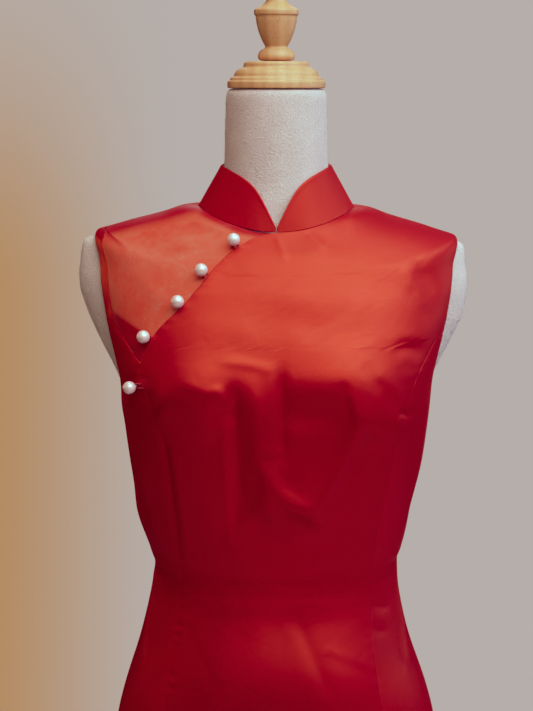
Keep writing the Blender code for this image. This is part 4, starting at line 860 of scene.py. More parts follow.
class Turned(GeometryRecipe):
    """Turns a profile of (radius, height) points round Z."""

    name = "turned"
    inputs = {"Points": "Int", "Segments": "Int"}

    def wire(self, net: Net, given: bpy.types.NodeOutputs) -> Socket:
        """Bend a grid round the axis, one row for each profile point."""
        columns = net.math("ADD", given["Segments"], 1)
        grid = net.add("GeometryNodeMeshGrid", {"Vertices X": columns, "Vertices Y": given["Points"]})
        place = net.split(grid.outputs["UV Map"]).outputs
        row = net.math("ROUND", net.math("MULTIPLY", place[1], net.math("SUBTRACT", given["Points"], 1)))
        here = net.add("GeometryNodeInputPosition")
        sample = net.add("GeometryNodeSampleIndex", {"Geometry": given["Geometry"],
                                                     "Value": here.outputs[0], "Index": row},
                         data_type="FLOAT_VECTOR")
        profile = net.split(sample.outputs[0]).outputs
        turn = net.math("MULTIPLY", place[0], 2 * math.pi)
        x = net.math("MULTIPLY", profile[0], net.math("COSINE", turn))
        y = net.math("MULTIPLY", profile[0], net.math("SINE", turn))
        bent = net.add("GeometryNodeSetPosition", {"Geometry": grid.outputs[0],
                                                   "Position": net.join(x, y, profile[2])})
        joined = net.add("GeometryNodeMergeByDistance", {"Geometry": bent.outputs[0], "Distance": 1e-5})
        return joined.outputs[0]


class Rouleau(GeometryRecipe):
    """Sweeps a round cord along a path."""

    name = "rouleau"
    inputs = {"Radius": "Float", "Sides": "Int", "Step": "Float"}

    def wire(self, net: Net, given: bpy.types.NodeOutputs) -> Socket:
        """Sweep a circle along the path."""
        even = net.add("GeometryNodeResampleCurve", {"Curve": given["Geometry"], "Length": given["Step"]},
                       mode="LENGTH")
        ring = net.add("GeometryNodeCurvePrimitiveCircle", {"Resolution": given["Sides"],
                                                            "Radius": given["Radius"]})
        swept = net.add("GeometryNodeCurveToMesh", {"Curve": even.outputs[0],
                                                    "Profile Curve": ring.outputs[0], "Fill Caps": True})
        return swept.outputs[0]


class StitchRow(GeometryRecipe):
    """Lays stitches along a path."""

    name = "stitch_row"
    inputs = {"Spacing": "Float", "Length": "Float", "Radius": "Float", "Seed": "Int"}

    def wire(self, net: Net, given: bpy.types.NodeOutputs) -> Socket:
        """Put one short rounded stitch at each step of the path."""
        steps = net.add("GeometryNodeCurveToPoints", {"Curve": given["Geometry"], "Length": given["Spacing"]},
                        mode="LENGTH")
        blob = net.add("GeometryNodeMeshUVSphere", {"Segments": 6, "Rings": 5, "Radius": 1.0})
        size = net.join(given["Radius"], given["Radius"], net.math("MULTIPLY", given["Length"], 0.5))
        vary = net.add("FunctionNodeRandomValue", {"Min": (0.9, 0.9, 0.85), "Max": (1.1, 1.1, 1.12),
                                                   "Seed": given["Seed"]}, data_type="FLOAT_VECTOR")
        scale = net.add("ShaderNodeVectorMath", {0: size, 1: vary.outputs[0]}, operation="MULTIPLY")
        laid = net.add("GeometryNodeInstanceOnPoints", {"Points": steps.outputs["Points"],
                                                        "Instance": blob.outputs[0],
                                                        "Rotation": steps.outputs["Rotation"],
                                                        "Scale": scale.outputs[0]})
        return laid.outputs[0]


class Nap(GeometryRecipe):
    """Grows short leaning fibres on a cloth cover."""

    name = "nap"
    inputs = {"Density": "Float", "Length": "Float", "Radius": "Float", "Lean": "Float", "Seed": "Int"}

    def wire(self, net: Net, given: bpy.types.NodeOutputs) -> Socket:
        """Scatter thin cones that lean at random."""
        shown = net.add("GeometryNodeInputNamedAttribute", {"Name": "shown"}, data_type="FLOAT")
        dense = net.math("MULTIPLY", given["Density"], shown.outputs[0])
        spots = net.add("GeometryNodeDistributePointsOnFaces", {"Mesh": given["Geometry"], "Density": dense,
                                                                "Seed": given["Seed"]})
        fibre = net.add("GeometryNodeMeshCone", {"Vertices": 3, "Radius Top": 0.0,
                                                 "Radius Bottom": given["Radius"],
                                                 "Depth": given["Length"]}, fill_type="NONE")
        most = net.math("MULTIPLY", given["Lean"], -1.0)
        lean = net.add("FunctionNodeRandomValue", {"Min": net.join(most, most, 0.0),
                                                   "Max": net.join(given["Lean"], given["Lean"], 6.28),
                                                   "Seed": given["Seed"]}, data_type="FLOAT_VECTOR")
        tipped = net.add("FunctionNodeRotateRotation", {"Rotation": spots.outputs["Rotation"],
                                                        "Rotate By": lean.outputs[0]},
                         rotation_space="LOCAL")
        size = net.add("FunctionNodeRandomValue", {"Min": (0.8, 0.8, 0.45), "Max": (1.2, 1.2, 1.25),
                                                   "Seed": given["Seed"]}, data_type="FLOAT_VECTOR")
        grown = net.add("GeometryNodeInstanceOnPoints", {"Points": spots.outputs["Points"],
                                                         "Instance": fibre.outputs[0],
                                                         "Rotation": tipped.outputs[0],
                                                         "Scale": size.outputs[0]})
        return grown.outputs[0]


# ---------------------------------------------------------------- finishes
def principled(name: str, **inputs: object) -> tuple[bpy.types.Material, Net, bpy.types.Node]:
    """Make a material with a Principled shader.

    Args:
        name: The material's name.
        inputs: Shader sockets with underscores for spaces.

    Returns:
        The material, its net and the shader.
    """
    made = bpy.data.materials.new(name)
    made.use_nodes = True
    shader = made.node_tree.nodes["Principled BSDF"]
    for key, value in inputs.items():
        shader.inputs[key.replace("_", " ")].default_value = value
    return made, Net(made.node_tree), shader


@dataclass(frozen=True)
class Finish:
    """A finish: a Principled shader's levels, with patterns on Object coordinates or the piece's UV map."""

    name: str

    def levels(self) -> dict[str, object]:
        """Return the shader's plain inputs, with underscores for spaces."""
        raise NotImplementedError

    def patterns(self, net: Net) -> dict[str, Socket]:
        """Return the shader's patterned inputs."""
        raise NotImplementedError

    def place(self, net: Net) -> Socket:
        """Return Object coordinates, in metres."""
        return net.add("ShaderNodeTexCoord").outputs["Object"]

    def make(self) -> bpy.types.Material:
        """Return the material."""
        made, net, shader = principled(self.name, **self.levels())
        for socket, value in self.patterns(net).items():
            net.tree.links.new(value, shader.inputs[socket])
        return made


@dataclass(frozen=True)
class WovenFinish(Finish):
    """A finish that follows the weave, on the piece's own UV map."""

    def place(self, net: Net) -> Socket:
        """Return the piece's own UV map, in metres."""
        return net.add("ShaderNodeUVMap", uv_map="UVMap").outputs[0]


@dataclass(frozen=True)
class SatinFinish(WovenFinish):
    """Heavy satin: long floats along the grain, a broad warm gleam over deep crimson."""

    name: str = "red_satin"
    deep: Colour = (0.222, 0.0, 0.0094)
    light: Colour = (0.308, 0.0, 0.0126)
    gleam: Colour = (1.0, 0.145, 0.062)
    index: float = 2.15
    roughness: float = 0.47
    roughness_spread: float = 0.05

    def levels(self) -> dict[str, object]:
        """Return the gleam's levels."""
        return {"IOR": self.index, "Specular_IOR_Level": 1.0, "Specular_Tint": (*self.gleam, 1),
                "Sheen_Weight": 0.12, "Sheen_Roughness": 0.5, "Sheen_Tint": (*self.gleam, 1),
                "Anisotropic": 0.35}

    def patterns(self, net: Net) -> dict[str, Socket]:
        """Return floats, slubs and soft rumples."""
        place = self.place(net)
        floats = net.noise(place, (1500, 210, 1))
        grain = net.noise(place, (520, 330, 1), 3.0)
        slubs = net.noise(place, (70, 900, 1))
        rumple = net.noise(place, (46, 30, 1), 3.0, 0.6)
        slack = net.noise(place, (15, 11, 1), 1.0, 0.3)
        cloud = net.noise(place, (9, 6, 1))
        tone = net.weigh((cloud, 0.35), (floats, 0.25), (grain, 0.40))
        return {"Base Color": net.blend(net.shift(tone, 0, 1, 0.38, 0.62), self.deep, self.light),
                "Roughness": net.shift(slubs, self.roughness - self.roughness_spread,
                                       self.roughness + self.roughness_spread),
                "Normal": net.bumps((slack, 0.26, 0.0042), (rumple, 0.32, 0.0014), (slubs, 0.10, 0.00016),
                                    (floats, 0.12, 0.00012))}


@dataclass(frozen=True)
class OrganzaFinish(WovenFinish):
    """Sheer organza: a fine open weave whose edges, turned in double, are denser and deeper, and which takes
    the same deeper colour as painted shade beside the collar, along the shoulder and at the yoke's foot.
    """

    name: str = "red_organza"
    thread: Colour = (0.66, 0.060, 0.030)
    thin: Colour = (0.86, 0.178, 0.086)
    # deeper colour of doubled edges, also used as painted shade beside the collar, at the shoulder and at the
    # foot
    doubled: Colour = (0.30, 0.0005, 0.0090)
    cover: tuple[float, float] = (0.38, 0.85)
    cover_doubled_and_shaded: float = 0.97

    def levels(self) -> dict[str, object]:
        """Return the thread's levels."""
        return {"Roughness": 0.42, "Specular_IOR_Level": 0.4, "Specular_Tint": (1.0, 0.4, 0.25, 1),
                "Sheen_Weight": 0.12, "Sheen_Roughness": 0.5, "Sheen_Tint": (1.0, 0.35, 0.22, 1)}

    def patterns(self, net: Net) -> dict[str, Socket]:
        """Return the uneven weave, with the doubled cloth and the painted shade of the doubling_and_shade
        attribute.
        """
        place = self.place(net)
        warp = net.noise(place, (900, 60, 1))
        weft = net.noise(place, (60, 900, 1))
        water = net.noise(place, (210, 120, 1), 4.0, 1.2)
        cloud = net.noise(place, (30, 22, 1), 3.0, 0.6)
        weave = net.math("MULTIPLY", net.math("ADD", warp, weft), 0.5)
        uneven = net.weigh((weave, 0.46), (water, 0.22), (cloud, 0.32))
        # the doubled edges and the painted shade deepen the colour and close the cover
        doubling_and_shade = net.add("ShaderNodeAttribute", attribute_name="doubling_and_shade").outputs["Fac"]
        body = net.blend(net.shift(uneven, 0, 1, 0.38, 0.62), self.thin, self.thread)
        open_cover = net.shift(uneven, *self.cover, 0.36, 0.64)
        cover = net.add("ShaderNodeMix", {0: doubling_and_shade, 2: open_cover, 3: self.cover_doubled_and_shaded}).outputs[0]
        return {"Base Color": net.blend(doubling_and_shade, body, self.doubled), "Alpha": cover,
                "Normal": net.bumps((uneven, 0.25, 0.0003), (weave, 0.15, 0.0001))}


@dataclass(frozen=True)
class JerseyFinish(Finish):
    """Brushed jersey cover of the form, with a fine nap."""

    name: str = "white_jersey"
    pale: Colour = (0.63, 0.555, 0.530)
    shade: Colour = (0.46, 0.395, 0.370)

    def levels(self) -> dict[str, object]:
        """Return the nap's levels."""
        return {"Roughness": 0.95, "Specular_IOR_Level": 0.15, "Sheen_Weight": 0.35, "Sheen_Roughness": 0.6}

    def patterns(self, net: Net) -> dict[str, Socket]:
        """Return pile, knit and worn patches."""
        place = self.place(net)
        pile = net.noise(place, (620, 620, 620), 3.0)
        knit = net.noise(place, (900, 900, 300))
        patches = net.noise(place, (38, 38, 38), 3.0)
        tone = net.weigh((pile, 0.65), (patches, 0.35))
        return {"Base Color": net.blend(net.shift(tone, 0, 1), self.shade, self.pale),
                "Normal": net.bumps((patches, 0.25, 0.001), (pile, 0.8, 0.0012), (knit, 0.3, 0.0004))}


@dataclass(frozen=True)
class BeechFinish(Finish):
    """Turned beech under clear gloss varnish, with its grain along the turning axis."""

    name: str = "beech_varnished"
    pale: Colour = (0.60, 0.345, 0.165)
    dark: Colour = (0.52, 0.285, 0.122)
    fleck: Colour = (0.42, 0.190, 0.066)

    def levels(self) -> dict[str, object]:
        """Return the varnish's levels."""
        return {"Roughness": 0.5, "Coat_Weight": 0.10, "Coat_Roughness": 0.18, "Coat_IOR": 1.5,
                "Specular_IOR_Level": 0.45}

    def patterns(self, net: Net) -> dict[str, Socket]:
        """Return wavering rings, fine grain and flecks."""
        place = self.place(net)
        warp = net.math("MULTIPLY", net.noise(place, (14, 14, 3)), 0.03)
        moved = net.add("ShaderNodeVectorMath", {0: place, 1: (1, 1, 0.10), 2: net.join(warp, 0.0, 0.0)},
                        operation="MULTIPLY_ADD")
        rings = net.add("ShaderNodeTexWave", {"Vector": moved.outputs[0], "Scale": 26.0, "Distortion": 1.6,
                                              "Detail": 2.0, "Detail Scale": 1.4}, wave_type="BANDS",
                        bands_direction="X").outputs["Fac"]
        fine = net.noise(place, (420, 420, 26), 3.0)
        flecks = net.noise(place, (900, 900, 130), 1.0)
        tone = net.weigh((rings, 0.55), (fine, 0.45))
        body = net.blend(net.shift(tone, 0, 1, 0.15, 0.85), self.pale, self.dark)
        return {"Base Color": net.blend(net.shift(flecks, 0, 0.8, 0.62, 0.72), body, self.fleck),
                "Normal": net.bumps((fine, 0.06, 0.0003))}


@dataclass(frozen=True)
class PearlFinish(Finish):
    """White pearl: soft body with a deep clear lustre."""

    name: str = "pearl"
    body: Colour = (0.68, 0.500, 0.470)
    bloom: Colour = (0.76, 0.590, 0.590)

    def levels(self) -> dict[str, object]:
        """Return the lustre's levels."""
        return {"Roughness": 0.34, "IOR": 1.75, "Specular_IOR_Level": 0.8, "Coat_Weight": 1.0,
                "Coat_Roughness": 0.05, "Coat_IOR": 1.65, "Specular_Tint": (0.88, 0.96, 1.0, 1),
                "Sheen_Weight": 0.35, "Sheen_Roughness": 0.35, "Sheen_Tint": (0.85, 0.88, 1.0, 1)}

    def patterns(self, net: Net) -> dict[str, Socket]:
        """Return a faint cloud."""
        cloud = net.noise(self.place(net), (160, 160, 160))
        return {"Base Color": net.blend(net.shift(cloud, 0, 1), self.body, self.bloom),
                "Normal": net.bumps((cloud, 0.05, 0.0004))}


@dataclass(frozen=True)
class ThreadFinish(Finish):
    """Twisted sewing thread or covered cord."""

    pale: Colour = (0.46, 0.010, 0.018)
    dark: Colour = (0.30, 0.004, 0.010)

    def levels(self) -> dict[str, object]:
        """Return the thread's levels."""
        return {"Roughness": 0.5, "Specular_IOR_Level": 0.4, "Specular_Tint": (1, 0.4, 0.3, 1),
                "Sheen_Weight": 0.3}

    def patterns(self, net: Net) -> dict[str, Socket]:
        """Return the twist."""
        twist = net.noise(self.place(net), (1600, 1600, 1600), 1.0)
        return {"Base Color": net.blend(net.shift(twist, 0, 1), self.dark, self.pale),
                "Normal": net.bumps((twist, 0.4, 0.0003))}


# ---------------------------------------------------------------- tables of collar, closure, form and stand
class Pearl(NamedTuple):
    """A pearl's place on the front, the lift of what it is sewn to, and the turn to the flap's edge."""

    x: float
    z: float
    lift: float
    turn: float


class NeckRing(NamedTuple):
    """A ring of the form's neck."""

    z_side: float
    z_front: float
    z_back: float
    half_width: float
    y_front: float
    y_back: float


PEARLS = table(
    Pearl,
    (-42, 1376.5, UNDERLAP_LIFT, -48),
    (-73.5, 1349.5, UNDERLAP_LIFT, -36),
    (-95.8, 1320, UNDERLAP_LIFT, -42),
    (-127.5, 1286, UNDERLAP_LIFT, -18),
    (-138.5, 1236.5, 0, 10),
)
NECK = table(
    NeckRing,
    (1407.2, 1386.4, 1414.4, 72.5, -58.8, 56.8),
    (1411.8, 1395, 1420, 65.5, -57.2, 54.8),
    (1423, 1411, 1431, 59.5, -56, 53.4),
    (1437, 1430, 1443, 54.8, -54.2, 52.6),
    (1453, 1450, 1457, 52.9, -53, 52.2),
    (1477, 1476, 1478, 52.4, -52.4, 52),
    (1506, 1506, 1506, 51.5, -51.5, 51.5),
    (1520, 1520, 1520, 50.9, -50.9, 50.9),
    (1525.5, 1525.5, 1525.5, 49, -49, 49),
    (1527.9, 1527.9, 1527.9, 45, -45, 45),
)
COLLAR_EDGE = (                        # angle, and the share of the collar's full height there
    (0, 0.07), (2.5, 0.17), (6, 0.31), (10, 0.46), (14, 0.59), (19.5, 0.73), (28.5, 0.86), (44, 0.95),
    (68, 0.995), (90, 1),
)
CAP_REACH = (                          # height, and how far the right and left arm caps stand out there
    (1206, 0, 0), (1232, 7, 5), (1264, 14.5, 13), (1294, 20, 19), (1320, 23.5, 18), (1345, 22, 15.5),
    (1358, 21, 14.5), (1367, 18, 12.5), (1373.5, 12, 8.5), (1378, 0, 0),
)
CAP_PROFILE = (                        # radius and height, as in the next three
    (0, 1528.2), (48.8, 1528.2), (49.8, 1529.2), (49.8, 1534.6), (48.9, 1535.5), (47.4, 1536.2),
    (46.6, 1538.8), (43.2, 1540), (42.6, 1543.2), (39.6, 1546.8), (34, 1549), (33.4, 1550.4),
    (33.2, 1553.2), (30.6, 1555.4), (0, 1555.4),
)
FINIAL_PROFILE = (
    (0, 1555.7), (16.8, 1555.7), (19, 1559), (18.8, 1562), (16, 1566.4), (11.6, 1568.8), (11.2, 1570),
    (14.6, 1576), (18.2, 1585), (20.6, 1595), (20.9, 1600.4), (22.6, 1601.6), (22.7, 1606),
    (21.4, 1607.4), (15.4, 1610.4), (10.8, 1614.2), (8.8, 1618.6), (9.6, 1622), (13, 1626), (14.2, 1631),
    (12.6, 1637), (7.6, 1641.6), (0, 1643.4),
)
BASE_PROFILE = (
    (0, 0), (186, 0), (190, 4), (190, 13), (186, 19), (176, 23), (60, 26), (40, 29), (34, 38), (27, 44),
    (0, 44),
)
POLE_PROFILE = ((0, 44.3), (14.4, 44.3), (15, 45), (15, 749), (14.4, 749.7), (0, 749.7))


# ---------------------------------------------------------------- the dress
EDGE_STEPS = np.array([0.0, 0.2, 0.55, 1.1, 1.9])     # rows and columns crowd towards a turned edge
EDGE_ROOM = EDGE_STEPS[-1] + 0.3                       # no plain row lies nearer to the first or last one
EDGE_REST = 0.06                                       # half the wall that is left at its very edge
FREE_ROLL, SEAM_ROLL = 1.25, 0.42                      # radius of a free edge and of a sewn one
SEAM_DEPTH = 0.4                                       # how deep a sewn edge turns, of a free one's turn
SEWN = 0.05                                            # from a panel's edge to the seam line
STEP_LEFT = 1e3                                        # a break's step when only the break itself is wanted


def crowd(length: float, count: int) -> np.ndarray:
    """Return distances along a length, crowded at both ends where the edge rolls over."""
    edge = EDGE_STEPS * min(1.0, length / (len(EDGE_STEPS) * EDGE_STEPS[-1]))
    middle = np.linspace(edge[-1], length - edge[-1], count + 1)[1:-1]
    return np.concatenate([edge, middle, length - edge[::-1]])


def curled(away: np.ndarray, radius: np.ndarray | float) -> np.ndarray:
    """Return how much of its half thickness a wall loses this far from an edge of this radius."""
    return 1 - np.sqrt(1 - np.clip(1 - away / radius, 0, 1) ** 2)


def stations(breaks: Sequence[tuple[float, float]], last: float) -> np.ndarray:
    """Return the rows of a panel.

    Args:
        breaks: Pairs of a station and the step that holds from it.
        last: The last station.

    Returns:
        Rising stations with crowded ends.
    """
    starts = [b[0] for b in breaks] + [last]
    rows: list[float] = []
    for (start, step), end in zip(breaks, starts[1:]):
        count = max(1, round((end - start) / step))
        rows += [start + (end - start) * i / count for i in range(count)]
    first = starts[0]
    inside = [v for v in rows if first + EDGE_ROOM < v < last - EDGE_ROOM]
    return np.array([first + e for e in EDGE_STEPS] + inside + [last - e for e in EDGE_STEPS[::-1]])


def oval_stations(low: float, high: float, count: int) -> list[tuple[float, float]]:
    """Return break points that crowd towards both ends of the armhole's oval."""
    turn = np.linspace(0, math.pi, count + 1)
    places = low + (high - low) * (1 - np.cos(turn)) / 2
    return [(float(p), STEP_LEFT) for p in places[:-1]]


@dataclass
class ClothPanel:
    """One cut piece of cloth between two pattern lines, as a closed wall with rolled edges."""

    name: str
    node: str
    rows: np.ndarray
    start: Line
    end: Line
    columns: int
    trims: tuple[float, float]
    flat: tuple[float, float]
    cut_area: float
    thickness: float = SATIN
    turned_in: float = 10.0
    turned_rise: float = 0.12
    turned_ramp: float = 1.2
    inner_share: float = 0.6
    pucker: tuple[float, float] = (0.0, 0.0)
    pucker_reach: float = 7.0
    free: tuple[tuple[float, float], tuple[float, float]] = ((0.0, 0.0), (0.0, 0.0))
    free_ends: tuple[bool, bool] = (True, False)
    hem: bool = False
    hem_depth: tuple[float, float] = (27.0, 30.0)
    hem_rise: float = 0.18
    hem_back: float = 0.5
    slot: Slot = Slot.SATIN
    row_points: int = 181

    def grid(self) -> tuple[np.ndarray, np.ndarray, np.ndarray]:
        """Return the grid's angles, its runs along each row and the runs' lengths."""
        first = np.array([self.start(v) for v in self.rows])
        final = np.array([self.end(v) for v in self.rows])
        share = np.linspace(0, 1, self.row_points)
        fine = first[:, None] + (final - first)[:, None] * share
        ring = BODY.ring(self.rows[:, None] + 0 * fine, fine)
        run = np.concatenate([np.zeros((len(self.rows), 1)),
                              np.cumsum(np.linalg.norm(np.diff(ring, axis=1), axis=2), axis=1)], axis=1)
        totals = run[:, -1] - sum(self.trims)
        places = [crowd(length, self.columns) for length in totals]
        angles = [np.interp(place + self.trims[0], run[i], fine[i]) for i, place in enumerate(places)]
        return np.array(angles), np.array(places), totals[:, None]

    def side_radius(self, v: np.ndarray, limits: tuple[float, float]) -> np.ndarray:
        """Return the radius of a side edge: wide where it is free, between two stations or at a slit."""
        free = ((v > limits[0]) & (v < limits[1])) | (v < V_SLIT - 4) & (limits[0] > 0)
        return np.where(free, FREE_ROLL, SEAM_ROLL)

    def roll(self, v: np.ndarray, sides: Sequence[np.ndarray], ends: Sequence[np.ndarray]) -> np.ndarray:
        """Return how far each face turns in, from the distances to the side edges and to the end rows."""
        edges = [(away, self.side_radius(v, limits)) for away, limits in zip(sides, self.free)]
        edges += [(away, np.where(free, FREE_ROLL, SEAM_ROLL)) for away, free in zip(ends, self.free_ends)]
        rolls = [np.where(radius > SEAM_ROLL, 1.0, SEAM_DEPTH) * curled(away, radius)
                 for away, radius in edges]
        return (self.thickness / 2 - EDGE_REST) * np.maximum.reduce(rolls)

    def base_lift(self, v: np.ndarray, angles: np.ndarray) -> np.ndarray:
        """Return the lift of the outer face before its edges are shaped."""
        return 0 * angles

    def layers(self, v: np.ndarray, angles: np.ndarray, places: np.ndarray) -> dict[str, np.ndarray]:
        """Return the attributes that the finish reads."""
        return {}

    def build(self, finish: bpy.types.Material) -> bpy.types.Object:
        """Make the panel.

        Args:
            finish: Its material.

        Returns:
            The piece, fixed to the body.
        """
        angles, places, totals = self.grid()
        v = self.rows[:, None] + 0 * angles
        sides, above_hem = (places, totals - places), v - self.rows[0]
        roll = self.roll(v, sides, (above_hem, self.rows[-1] - v))
        rise = self.turned_rise * (1 - smooth(np.minimum(*sides), self.turned_in - self.turned_ramp,
                                              self.turned_in + self.turned_ramp))
        turned = (1 - smooth(above_hem, *self.hem_depth)) * self.hem
        rise = np.maximum(rise, self.hem_rise * turned)
        wave = 0.5 + 0.5 * np.sin(v / 2.3 + 1.9 * np.sin(v / 9.1)) * np.sin(v / 17.0 + 0.6)
        gather = sum(amount * np.exp(-(away / self.pucker_reach) ** 2) * wave
                     for amount, away in zip(self.pucker, sides))
        lift = self.base_lift(v, angles) + rise - gather
        outer = BODY.cloth(v, angles, lift - roll)
        inner = BODY.cloth(v, angles, lift - rise * self.inner_share - self.hem_back * turned * (roll == 0)
                           - self.thickness + roll)
        uv = np.stack([places - totals / 2, v], axis=-1) * MM
        piece = wall(self.name, outer, inner, uv, self.layers(v, angles, places))
        return hang(piece, finish, self.slot, self.node)


@dataclass
class YokePanel(ClothPanel):
    """The sheer yoke, sunk where the flap lies on it."""

    # where the yoke is doubled and where shade is painted on it: at the foot, the shoulder, the band and
    # beside the collar
    foot_doubling_and_shade_line: tuple[float, float, float, float] = (-163.0, 1307.0, -127.0, 1286.5)
    foot_doubling_and_shade_edge: tuple[float, float] = (-3.5, 2.0)
    foot_doubling_and_shade_thins: tuple[float, float] = (7.0, 12.0)
    shoulder_doubling_and_shade: tuple[float, float] = (24.0, 46.0)
    shoulder_starts: tuple[float, float] = (-4.0, 10.0)
    side_doubling_and_shade: tuple[float, float] = (0.5, 5.0)
    side_fades: float = 60.0
    neck_doubling_and_shade: tuple[float, float] = (6.0, 17.0)

    def base_lift(self, v: np.ndarray, angles: np.ndarray) -> np.ndarray:
        """Return the lift, level with the satin but sunk beside and under the flap."""
        point = BODY.ring(v, angles)
        edge = CUT.flap_edge(np.maximum(v, CUT.flap))
        away = np.radians(edge - angles) * np.hypot(point[..., 0], point[..., 1])
        return UNDERLAP_LIFT * (1 - smooth(away, *YOKE_RAMP))

    def layers(self, v: np.ndarray, angles: np.ndarray, places: np.ndarray) -> dict[str, np.ndarray]:
        """Return where the cloth is doubled and where shade is painted on it: below the foot's line, at the
        shoulder, band and neck.
        """
        point = BODY.ring(v, angles)
        x0, z0, x1, z1 = self.foot_doubling_and_shade_line
        length = math.hypot(x1 - x0, z1 - z0)
        below = ((z1 - z0) * (point[..., 0] - x0) - (x1 - x0) * (point[..., 2] - z0)) / length
        # painted shade together with the doubled cloth: below the foot's line, along the shoulder, beside the
        # band and beside the collar
        foot = smooth(below, *self.foot_doubling_and_shade_edge) * (1 - 0.16 * smooth(below, *self.foot_doubling_and_shade_thins))
        shoulder = (1 - smooth(places, *self.shoulder_doubling_and_shade)) * smooth(v - V_TIP, *self.shoulder_starts)
        side = 0.5 * (1 - smooth(places, *self.side_doubling_and_shade)) * smooth(CUT.foot_top - v, -self.side_fades, 0)
        neck = 0.95 * (1 - smooth(V_NECK - v, *self.neck_doubling_and_shade))
        return {"doubling_and_shade": np.maximum.reduce([foot, shoulder, side, neck])}


@dataclass
class Collar:
    """The stand collar, whose two front ends curve down to the middle of the neckline."""

    top_half: float = 56.2
    top_front: float = 58.0
    top_back: float = 57.0
    top_z: float = 1451.0
    back_rise: float = 8.0
    front_fall: float = 9.0
    full_angle: float = 90.0
    end_angle: float = 0.45
    end_crowding: float = 1.55
    seam: float = 0.12
    tall: float = 48.0
    columns: int = 300
    rows: int = 26
    edge_roll: float = 1.1
    seam_roll: float = 0.3
    band_edge: tuple[float, float] = (3.4, 4.6)
    band_rise: float = 0.14
    inner_share: float = 0.4
    flat: tuple[float, float] = (0.46, 0.05)
    cut_area: float = 0.0192

    def __post_init__(self) -> None:
        """Make the front edge's curve."""
        self.share = Spline(*zip(*COLLAR_EDGE))

    def point(self, angle: np.ndarray, height: np.ndarray) -> np.ndarray:
        """Return the outer face at an angle and a share of the full height."""
        seam = BODY.cloth(V_NECK, angle, 0.0, fine=False)
        inward = unit(seam - BODY.cloth(V_NECK - 0.5, angle, 0.0, fine=False))
        base = seam + self.seam * inward
        a = np.radians(angle)
        front = np.cos(a) >= 0
        depth = np.where(front, self.top_front, self.top_back)
        reach = 1 / np.hypot(np.sin(a) / self.top_half, np.cos(a) / depth)
        rise = np.where(front, -self.front_fall, self.back_rise) * np.cos(a) ** 2
        top = np.stack([reach * np.sin(a), -reach * np.cos(a), self.top_z + rise], axis=-1)
        return base + (top - base) * height[..., None]

    def normal(self, angle: np.ndarray, height: np.ndarray) -> np.ndarray:
        """Return the outer face's unit normal."""
        along = self.point(angle + 0.2, height) - self.point(angle - 0.2, height)
        up = self.point(angle, height + 0.01) - self.point(angle, height)
        return unit(np.cross(along, up))

    def build(self, finish: bpy.types.Material) -> bpy.types.Object:
        """Make the collar.

        Args:
            finish: Its material.

        Returns:
            The piece, fixed to the body.
        """
        half = np.linspace(0, 1, self.columns // 2 + 1)
        side = self.end_angle + (180 - self.end_angle) * half ** self.end_crowding
        angles = np.concatenate([side, 360 - side[-2::-1]])
        full = self.share(np.minimum(np.minimum(angles, 360 - angles), self.full_angle))
        steps = crowd(self.tall, self.rows) / self.tall
        grid = np.repeat(angles[None, :], len(steps), axis=0)
        heights = steps[:, None] * full[None, :]
        outer, normal = self.point(grid, heights), self.normal(grid, heights)
        places = np.concatenate([[0], np.cumsum(np.linalg.norm(np.diff(outer[0], axis=0), axis=1))])
        ends = np.minimum(places, places[-1] - places)[None, :]
        near = np.minimum(ends, (full[None, :] - heights) * self.tall)
        roll = (COLLAR_WALL / 2 - EDGE_REST) * np.maximum(curled(near, self.edge_roll),
                                                          curled(heights * self.tall, self.seam_roll))
        ripple = 0.08 * np.sin(np.radians(grid) * 5 + 1.1) * np.sin(heights * math.pi) \
            + 0.04 * np.sin(np.radians(grid) * 13 + 5 * heights)
        band = self.band_rise * (1 - smooth(near, *self.band_edge))
        lift = (ripple * (heights * (full - heights) > 0) + band)[..., None]
        uv = np.stack([places[None, :] + 0 * grid, heights * self.tall + V_NECK], axis=-1) * MM
        piece = wall("collar_stand", outer + normal * (lift - roll[..., None]),
                     outer + normal * (lift * self.inner_share - COLLAR_WALL + roll[..., None]), uv, {})
        return hang(piece, finish, Slot.SATIN, "collar")


